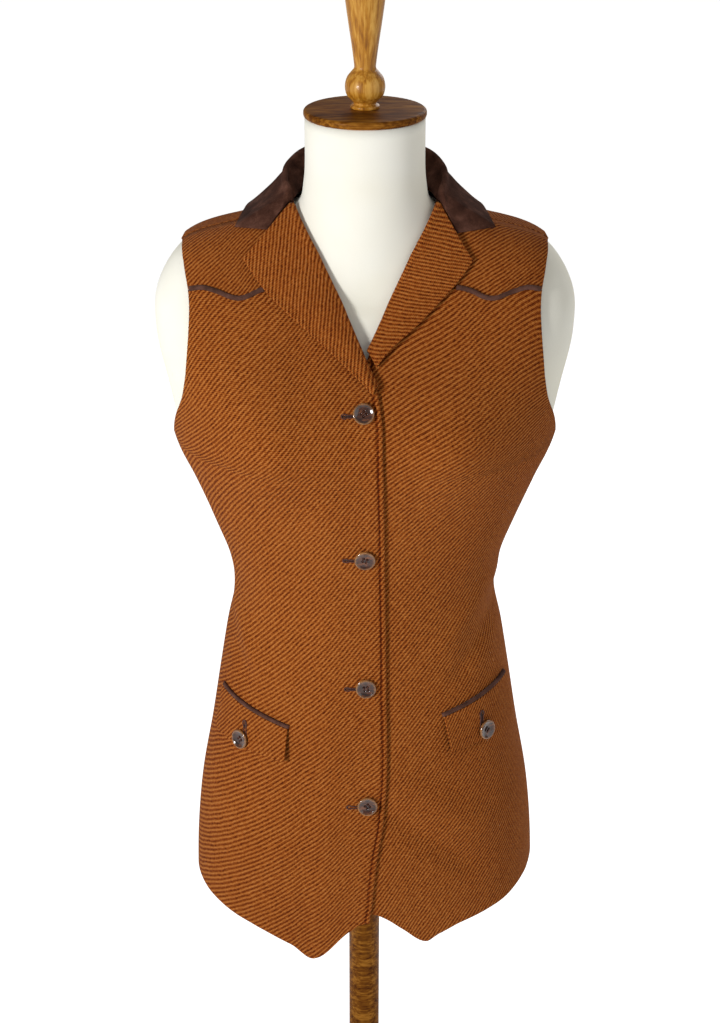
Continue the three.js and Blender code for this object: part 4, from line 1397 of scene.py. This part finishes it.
@dataclass
class Buttons:
    """Four-hole horn buttons, four down the front and one on each flap, with their thread and buttonholes."""

    radius: float = 9.0
    front: tuple[tuple[float, float], ...] = ((-1.5, 869), (0, 737.5), (1, 609), (2.5, 491))
    flap: dict[Side, tuple[float, float]] = field(default_factory=lambda: {
        Side.RIGHT: (-109, 537.5), Side.LEFT: (106.5, 548)})
    # radius, height: the button's section from the middle of its underside to the middle of its dish
    section: Array = field(default_factory=lambda: table(
        (0, 0), (3, 0), (5.6, 0), (7.4, 0.35), (8.5, 0.9), (9, 1.8), (8.9, 2.6), (8.5, 3.1), (8.0, 3.25), (7.4, 3.05),
        (6.6, 2.65), (5.6, 2.25), (4, 1.85), (2, 1.65), (0, 1.6)))
    hole_radius: float = 0.95
    hole_reach: float = 2.15
    hole_depth: float = 1.3
    seat: float = 0.7
    front_slot: float = 14.5
    flap_slot: float = 17.0
    lean: float = 3.6  # how far a flap's buttonhole lies from its button's middle, towards the front edge

    def frame(self, x: float, z: float, out: float, side: Side) -> tuple[Array, Array]:
        """The foot point on the cloth and the axes (columns) of a button there, its third along the normal.

        Args:
            x: signed x.
            z: the height.
            out: how far off the shape.
            side: which front.

        Returns:
            The point in mm and a matrix of axes.
        """
        angle = SHAPE.angle_at(np.array(x), np.array(z))
        rise = VEST.rise(side, np.array(x), np.array(z))
        foot = SHAPE.cloth(angle, np.array(z), out + rise)
        n = SHAPE.normal(angle, np.array(z))
        right = np.cross([0, 0, 1], n)
        right = -right / np.linalg.norm(right)
        return foot, np.stack([right, np.cross(n, right), n], axis=-1)

    def button(self, name: str, foot: Array, axes: Array, twist: float) -> bpy.types.Object:
        """One button: its section turned about the normal, with four wells pressed into the dish.

        Args:
            name: the button's name.
            foot: its foot point.
            axes: its axes.
            twist: how far it is turned, as an angle.

        Returns:
            The object.
        """
        place = np.linspace(0, len(self.section) - 1, 105)
        radius, height = catmull(self.section, place).T
        radius = np.clip(radius, 0, None)
        turn = np.arange(64) / 64 * 2 * np.pi
        x, y = radius[:, None] * np.cos(turn), radius[:, None] * np.sin(turn)
        z = np.broadcast_to(height[:, None], x.shape).copy()
        top = place > 9
        for k in range(4):
            a = twist + QUARTER * (k + 0.5)
            away = np.hypot(x - self.hole_reach * np.cos(a), y - self.hole_reach * np.sin(a))
            well = self.hole_depth * soft_step((self.hole_radius + 0.25 - away) / 0.5)
            z -= np.where(top[:, None], well, 0)
        local = np.stack([x, y, z], axis=-1)[1:-1].reshape(-1, 3)
        local = np.concatenate([local, [[0, 0, self.section[0, 1]], [0, 0, self.section[-1, 1]]]])
        faces = tube_faces(len(place) - 2, 64, closed=(len(local) - 2, len(local) - 1))
        share = np.hypot(local[:, 0], local[:, 1]) / self.radius
        uv = np.stack([share, np.arctan2(local[:, 1], local[:, 0]) / (2 * np.pi)], axis=-1)
        return make_object(f"{name}_horn", foot + local @ axes.T, faces, [HORN], name, uv, "turn")

    def stitches(self, name: str, foot: Array, axes: Array, twist: float) -> bpy.types.Object:
        """Two bars of thread between pairs of holes, each a round cord in a low arch.

        Args:
            name: the button's name.
            foot: its foot point.
            axes: its axes.
            twist: how far it is turned, as an angle.

        Returns:
            The object.
        """
        t = np.linspace(-1, 1, 17)
        a = self.hole_reach / math.sqrt(2)
        bars = []
        for level in (-1, 1):
            x, y, z = t * a, np.full_like(t, level * a), 2.15 - 1.2 * np.abs(t) ** 6
            turned = np.stack([x * math.cos(twist) - y * math.sin(twist), x * math.sin(twist) + y * math.cos(twist), z],
                              axis=-1)
            bars.append(rod(turned, 0.42))
        vertices = np.concatenate([bars[0][0], bars[1][0]])
        faces = np.concatenate([bars[0][1], bars[1][1] + len(bars[0][0])])
        uv = np.concatenate([bars[0][2], bars[1][2]])
        return make_object(f"{name}_thread", foot + vertices @ axes.T, faces, [THREAD], "", uv, "turn")

    def buttonhole(self, name: str, side: Side, x: float, z: float, way: tuple[float, float], length: float,
                   out: float, width: float = 2.0) -> bpy.types.Object:
        """A worked keyhole: one thread cord laid round a slot with a round eye at its far end.

        The loop runs out and back along the slot at half its width, bulging by a bell curve round the eye.

        Args:
            name: the object's name.
            side: which front.
            x: the near end's x.
            z: its height.
            way: the slot's direction as (x, z).
            length: the slot's length.
            out: how far the cord's middle lies off the shape.
            width: the distance between the two runs of the cord.

        Returns:
            The object.
        """
        t = np.linspace(0, 2 * np.pi, 121)[:-1]
        along = length / 2 * (1 - np.cos(t))
        bulge = 1 + 0.9 * np.exp(-(((along - length * 0.85) / (0.12 * length)) ** 2))
        across = width / 2 * np.sign(np.sin(t)) * np.abs(np.sin(t)) ** 0.35 * bulge
        px, pz = x + way[0] * along - way[1] * across, z + way[1] * along + way[0] * across
        point = SHAPE.cloth(SHAPE.angle_at(px, pz), pz, out + VEST.rise(side, px, pz))
        vertices, faces, uv = rod(point, 0.62, ring=True)
        return make_object(name, vertices, faces, [THREAD], "", uv, "turn")

    def slot(self, name: str, side: Side, x: float, z: float, way: tuple[float, float], length: float,
             out: float) -> bpy.types.Object:
        """The dark cut between the two runs of a buttonhole: a thin strip in the thread's darkest colour, painted shade
        in the cut.

        Args:
            name: the object's name.
            side: which front.
            x: the near end's x.
            z: its height.
            way: the slot's direction as (x, z).
            length: its length.
            out: how far it lies off the shape.

        Returns:
            The object.
        """
        k = np.linspace(-1, 1, 5)
        t = np.linspace(0.04, 0.96, 24)
        along = t[:, None] * length
        across = 0.75 * k[None, :] * np.sin(np.pi * t)[:, None] ** 0.3
        px, pz = x + way[0] * along - way[1] * across, z + way[1] * along + way[0] * across
        angle = SHAPE.angle_at(px, pz)
        low = SHAPE.cloth(angle, pz, out - 0.3 + VEST.rise(side, px, pz))
        high = SHAPE.cloth(angle, pz, out + 0.12 + VEST.rise(side, px, pz))
        faces, _ = shell_faces(*px.shape)
        # every point reads the dark gap colour between strands: painted shade for the cut
        uv = np.full((2 * px.size, 2), 0.45)
        return make_object(name, both_sides(low, high), faces, [THREAD], "", uv, "turn")

    def make(self) -> None:
        """Builds every button with its thread and its buttonhole."""
        for k, (x, z) in enumerate(self.front, 1):
            name, twist = f"button_front_{k}", 0.25 + 0.5 * k
            foot, axes = self.frame(x, z, WALL + self.seat, Side.RIGHT)
            self.button(name, foot, axes, twist)
            self.stitches(name, foot, axes, twist)
            hole = (Side.RIGHT, x - 4, z - 1.6, (-1, 0), self.front_slot)
            self.buttonhole(f"buttonhole_front_{k}", *hole, WALL + 0.35)
            # the slot strip is painted shade in the buttonhole's cut
            self.slot(f"buttonhole_slot_{k}", *hole, WALL)
        onto = 2 * WALL + STAND_OFF + 0.45
        for side, (x, z) in self.flap.items():
            name = f"button_flap_{side.word}"
            foot, axes = self.frame(x, z, onto + self.seat, side)
            self.button(name, foot, axes, 0.8)
            self.stitches(name, foot, axes, 0.8)
            hole = (side, x - self.lean * side.value, z + 2, (0, 1), self.flap_slot)
            self.buttonhole(f"buttonhole_{name}", *hole, onto + 0.2)
            self.slot(f"buttonhole_slot_{name}", *hole, onto - 0.15)


def tube_faces(rows: int, around: int, closed: tuple[int, int] | None = None) -> Array:
    """Quads of rows of rings, and fans to the two pole vertices where closed names them.

    Args:
        rows: how many rings.
        around: points in a ring.
        closed: the numbers of the lower and upper pole.

    Returns:
        (n, 4) vertex numbers.
    """
    ring = np.arange(rows * around).reshape(rows, around)
    after = np.roll(ring, -1, axis=1)
    quads = [np.stack([ring[:-1], after[:-1], after[1:], ring[1:]], axis=-1).reshape(-1, 4)]
    if closed:
        low, high = (np.full(around, pole) for pole in closed)
        quads.append(np.stack([after[0], ring[0], low, low], axis=-1))
        quads.append(np.stack([ring[-1], after[-1], high, high], axis=-1))
    return np.concatenate(quads)


def rod(path: Array, radius: float, ring: bool = False, around: int = 10) -> tuple[Array, Array, Array]:
    """A round cord along a path: circles across it, with closed round ends unless it is a ring.

    Args:
        path: (n, 3) points in mm.
        radius: the cord's radius.
        ring: whether the last point joins the first.
        around: points round the cord.

    Returns:
        Vertices, quads, and (angle share, length) coordinates in mm.
    """
    ahead = np.roll(path, -1, axis=0) - np.roll(path, 1, axis=0) if ring else np.gradient(path, axis=0)
    ahead /= np.linalg.norm(ahead, axis=1, keepdims=True)
    side = np.cross(ahead, [0.1, -1.0, 0.2])
    side /= np.linalg.norm(side, axis=1, keepdims=True)
    up = np.cross(side, ahead)
    turn = np.arange(around) / around * 2 * np.pi
    circle = side[:, None] * np.cos(turn)[None, :, None] + up[:, None] * np.sin(turn)[None, :, None]
    vertices = (path[:, None] + circle * radius).reshape(-1, 3)
    distance = np.concatenate([[0], np.cumsum(np.linalg.norm(np.diff(path, axis=0), axis=1))])
    uv = np.stack(np.broadcast_arrays(turn[None, :] / (2 * np.pi), distance[:, None]), axis=-1).reshape(-1, 2)
    if ring:
        rows = np.arange(len(path) * around).reshape(len(path), around)
        above = np.roll(rows, -1, axis=0)
        faces = np.stack([rows, np.roll(rows, -1, axis=1), np.roll(above, -1, axis=1), above], axis=-1).reshape(-1, 4)
        return vertices, faces, uv
    poles = np.stack([path[0] - ahead[0] * radius * 0.6, path[-1] + ahead[-1] * radius * 0.6])
    faces = tube_faces(len(path), around, closed=(len(vertices), len(vertices) + 1))
    return np.concatenate([vertices, poles]), faces, np.concatenate([uv, [[0, 0], [0, distance[-1]]]])


@dataclass
class DressForm:
    """The limbless form on its stand: a jersey torso, a turned cap and handle, a post and a round base."""

    under_z: float = 396.0
    neck_top: float = 1092.6
    straight_neck: float = 18.0
    cap_top: float = 1100.0
    cap_radius: float = 51.5
    cap_thickness: float = 7.0
    base_radius: float = 155.0
    base_thickness: float = 20.0
    post_radius: float = 15.0
    flange_radius: float = 34.0
    # radius and height above the cap of the turned handle
    handle: Array = field(default_factory=lambda: table(
        (12, 0), (12, 2), (9.5, 4), (11, 6), (15.4, 11), (16.8, 18), (15.2, 25), (11.5, 30), (9.2, 33), (9.4, 38),
        (11.2, 52), (13.6, 68), (15.6, 82), (17, 93), (17.6, 100), (16.4, 106), (12, 111), (6, 113.6), (0, 114.4)))

    def torso(self) -> bpy.types.Object:
        """The shape's rings taken in by each ring's ease, a flat underside, and the neck run straight up.

        Returns:
            The object.
        """
        around = 176
        angle = np.arange(around) / around * 2 * np.pi
        low = float(SHAPE.level_at(np.array(0.0), np.array(self.under_z)))
        top = float(SHAPE.level_at(np.array(0.0), np.array(self.neck_top - self.straight_neck)))
        levels = np.concatenate([np.linspace(low, 11, 80), np.linspace(11, top, 90)[1:]])
        grid_angle, level = np.meshgrid(angle, levels)
        point = SHAPE.point(grid_angle, level)
        ease = catmull(SHAPE.rings[:, 7:], level)
        point = point - SHAPE.normal(grid_angle, point[..., 2]) * ease
        point[0, :, 2] = self.under_z
        radius = SHAPE.rings[-1, 3]
        neck = np.stack([radius * np.sin(angle), -radius * np.cos(angle), np.full(around, self.neck_top)], axis=-1)
        rows = np.concatenate([point, mix(point[-1:], neck[None], 0.5), neck[None]])
        inset = rows[0] * [0.985, 0.985, 1]
        rows = np.concatenate([inset[None], rows])
        vertices = np.concatenate([rows.reshape(-1, 3), [[0, 0, self.under_z], [0, 0, self.neck_top]]])
        faces = tube_faces(len(rows), around, closed=(len(vertices) - 2, len(vertices) - 1))
        return make_object("form_jersey", vertices, faces, [JERSEY], "form_torso")

    def turned(self, name: str, section: Array, z: float, finish: Finish, node: str, slot: str,
               around: int = 96) -> bpy.types.Object:
        """A turned piece: its (radius, height) section, closed on the axis, carried round +Z at height z.

        Args:
            name: the object's name.
            section: (n, 2) radius and height.
            z: the height of its foot.
            finish: its finish.
            node: the solid it stands for.
            slot: its material slot; not used.
            around: points in a ring.

        Returns:
            The object.
        """
        turn = np.arange(around) / around * 2 * np.pi
        radius, height = section[1:-1].T
        ring = np.stack(np.broadcast_arrays(radius[:, None] * np.sin(turn), -radius[:, None] * np.cos(turn),
                                            height[:, None]), axis=-1)
        poles = [[0, 0, section[0, 1]], [0, 0, section[-1, 1]]]
        vertices = np.concatenate([ring.reshape(-1, 3), poles]) + [0, 0, z]
        faces = tube_faces(len(radius), around, closed=(len(vertices) - 2, len(vertices) - 1))
        return make_object(name, vertices, faces, [finish], node)

    def disc(self, radius: float, thickness: float, edge: float, crown: float) -> Array:
        """The section of a disc with round edges whose top rises by crown towards the middle.

        Args:
            radius: the disc's radius.
            thickness: its thickness.
            edge: the radius of its edges.
            crown: how far its middle rises.

        Returns:
            (n, 2) radius and height.
        """
        a = np.linspace(0, QUARTER, 9)
        low = np.stack([radius - edge + edge * np.sin(a), edge - edge * np.cos(a)], axis=-1)
        high = np.stack([radius - edge + edge * np.cos(a), thickness - crown - edge + edge * np.sin(a)], axis=-1)
        r = np.linspace(radius - edge, 0, 10)[1:]
        over = np.stack([r, thickness - crown * (r / (radius - edge)) ** 2], axis=-1)
        return np.concatenate([[[0, 0]], low, high, over])

    def make(self) -> None:
        """Builds the torso and its stand."""
        self.torso()
        self.turned("neck_cap_walnut", self.disc(self.cap_radius, self.cap_thickness, 2.6, 0.4),
                    self.cap_top - self.cap_thickness, WALNUT, "neck_cap", "walnut")
        fine = catmull(self.handle, np.linspace(0, len(self.handle) - 1, 130))
        fine = np.clip(fine, 0, None)
        fine[-1] = self.handle[-1]
        self.turned("handle_beech", np.concatenate([[[0, 0]], fine]), self.cap_top + 0.3, BEECH, "finial", "beech", 72)
        self.turned("base_walnut", self.disc(self.base_radius, self.base_thickness, 6, 0), 0, WALNUT, "stand_base",
                    "walnut", 128)
        length = self.under_z - self.base_thickness - 0.6
        flange = length - 12
        section = table((0, 0), (30, 0), (30, 5), (29, 7), (26, 9), (20, 11.5), (self.post_radius, 16),
                        (self.post_radius, length / 2), (self.post_radius, flange - 8), (20, flange - 4),
                        (self.flange_radius - 6, flange), (self.flange_radius, flange + 3),
                        (self.flange_radius, length), (0, length))
        self.turned("post_walnut", section, self.base_thickness + 0.3, WALNUT, "stand_post", "walnut")


@dataclass
class Studio:
    """The pale floor, the soft lights and the camera, which looks down by 24.5 degrees from head height."""

    camera_at: tuple[float, float, float] = (-4.2, -1650.0, 1483.6)
    tilt: float = 24.5
    lens: float = 2000 / 1023 * 36
    floor: str = "F9F9F8"
    window_from: tuple[float, float, float] = (1.0, -0.6, 0.1)
    key_at: tuple[float, float, float] = (-1700, -1850, 1300)
    key_aim: tuple[float, float, float] = (-20, 0, 770)
    back_at: tuple[float, float, float] = (900, 1900, 1900)
    back_aim: tuple[float, float, float] = (0, 0, 800)

    def stage(self) -> None:
        """A wide plain floor."""
        size = 9000.0
        vertices = table((-size, -size, 0), (size, -size, 0), (size, size, 0), (-size, size, 0)) * MM
        mesh = bpy.data.meshes.new("floor")
        mesh.from_pydata(vertices, [], [(0, 1, 2, 3)])
        material = bpy.data.materials.new("pale paper floor")
        material.use_nodes = True
        shader = material.node_tree.nodes["Principled BSDF"]
        shader.inputs["Base Color"].default_value = linear(self.floor)
        shader.inputs["Roughness"].default_value = 0.95
        shader.inputs["Emission Color"].default_value = linear(self.floor)
        seen = add_node(material.node_tree, "LightPath", output="Is Camera Ray")
        glow = add_node(material.node_tree, "Math", (seen, 0.42, 0.4), operation="MULTIPLY_ADD")
        material.node_tree.links.new(glow, shader.inputs["Emission Strength"])
        mesh.materials.append(material)
        floor = bpy.data.objects.new("floor", mesh)
        bpy.context.scene.collection.objects.link(floor)

    def hang(self, data: bpy.types.Light, at: tuple[float, float, float], aim: tuple[float, float, float]) -> None:
        """Puts a lamp at a point in mm, turned towards another.

        Args:
            data: the lamp's data.
            at: the lamp's place in mm.
            aim: the point it looks at, in mm.
        """
        lamp = bpy.data.objects.new(data.name, data)
        place = np.array(at) * MM
        lamp.location = place
        lamp.rotation_euler = Vector(np.array(aim) * MM - place).to_track_quat("-Z", "Y").to_euler()
        bpy.context.scene.collection.objects.link(lamp)

    def light(self, name: str, at: tuple[float, float, float], aim: tuple[float, float, float], size: float,
              watts: float) -> None:
        """A square area light at a point in mm, turned towards another.

        Args:
            name: the lamp's name.
            at: the lamp's place in mm.
            aim: the point it looks at, in mm.
            size: its side in metres.
            watts: its power.
        """
        data = bpy.data.lights.new(name, "AREA")
        data.size, data.energy = size, watts
        self.hang(data, at, aim)

    def sun(self, towards: tuple[float, float, float], strength: float, spread: float) -> None:
        """A soft even light from a direction, its spread in degrees, which lights the floor evenly too.

        Args:
            towards: the direction to it.
            strength: its strength.
            spread: its spread in degrees.
        """
        data = bpy.data.lights.new("window", "SUN")
        data.energy, data.angle = strength, math.radians(spread)
        lamp = bpy.data.objects.new(data.name, data)
        lamp.rotation_euler = Vector(towards).to_track_quat("Z", "Y").to_euler()
        bpy.context.scene.collection.objects.link(lamp)

    def spot(self, at: tuple[float, float, float], aim: tuple[float, float, float], watts: float, cone: float) -> None:
        """A round lamp at a point in mm that fades smoothly towards the edge of its cone (degrees).

        Args:
            at: the lamp's place in mm.
            aim: the point it looks at, in mm.
            watts: its power.
            cone: its full angle in degrees.
        """
        data = bpy.data.lights.new("key", "SPOT")
        data.energy, data.spot_size, data.spot_blend, data.shadow_soft_size = watts, math.radians(cone), 1.0, 0.3
        self.hang(data, at, aim)

    def make(self) -> None:
        """Builds the camera, the floor, the lights and the pale surroundings."""
        data = bpy.data.cameras.new("camera")
        data.lens, data.sensor_width = self.lens, 36.0
        camera = bpy.data.objects.new("camera", data)
        camera.location = np.array(self.camera_at) * MM
        camera.rotation_euler = (math.radians(90 - self.tilt), 0, 0)
        bpy.context.scene.collection.objects.link(camera)
        bpy.context.scene.camera = camera
        self.stage()
        self.sun(self.window_from, 0.55, 60)
        self.spot(self.key_at, self.key_aim, 185, 42)
        self.light("back", self.back_at, self.back_aim, 1.6, 16)
        world = bpy.data.worlds.new("pale room")
        world.use_nodes = True
        background = world.node_tree.nodes["Background"]
        background.inputs["Color"].default_value = (1, 1, 1, 1)
        seen = add_node(world.node_tree, "LightPath", output="Is Camera Ray")
        strength = add_node(world.node_tree, "Math", (seen, 0.75, 0.25), operation="MULTIPLY_ADD")
        world.node_tree.links.new(strength, background.inputs["Strength"])
        bpy.context.scene.world = world
        bpy.context.scene.view_settings.view_transform = "Standard"


def main() -> None:
    logging.basicConfig(level=logging.INFO, format="%(name)s: %(message)s")
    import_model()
    Studio().make()
    DressForm().make()
    Fronts().make()
    Back().make()
    lapels = Lapels()
    lapels.make()
    Collar().make(lapels)
    Pockets().make()
    Buttons().make()


if __name__ == "__main__":
    main()
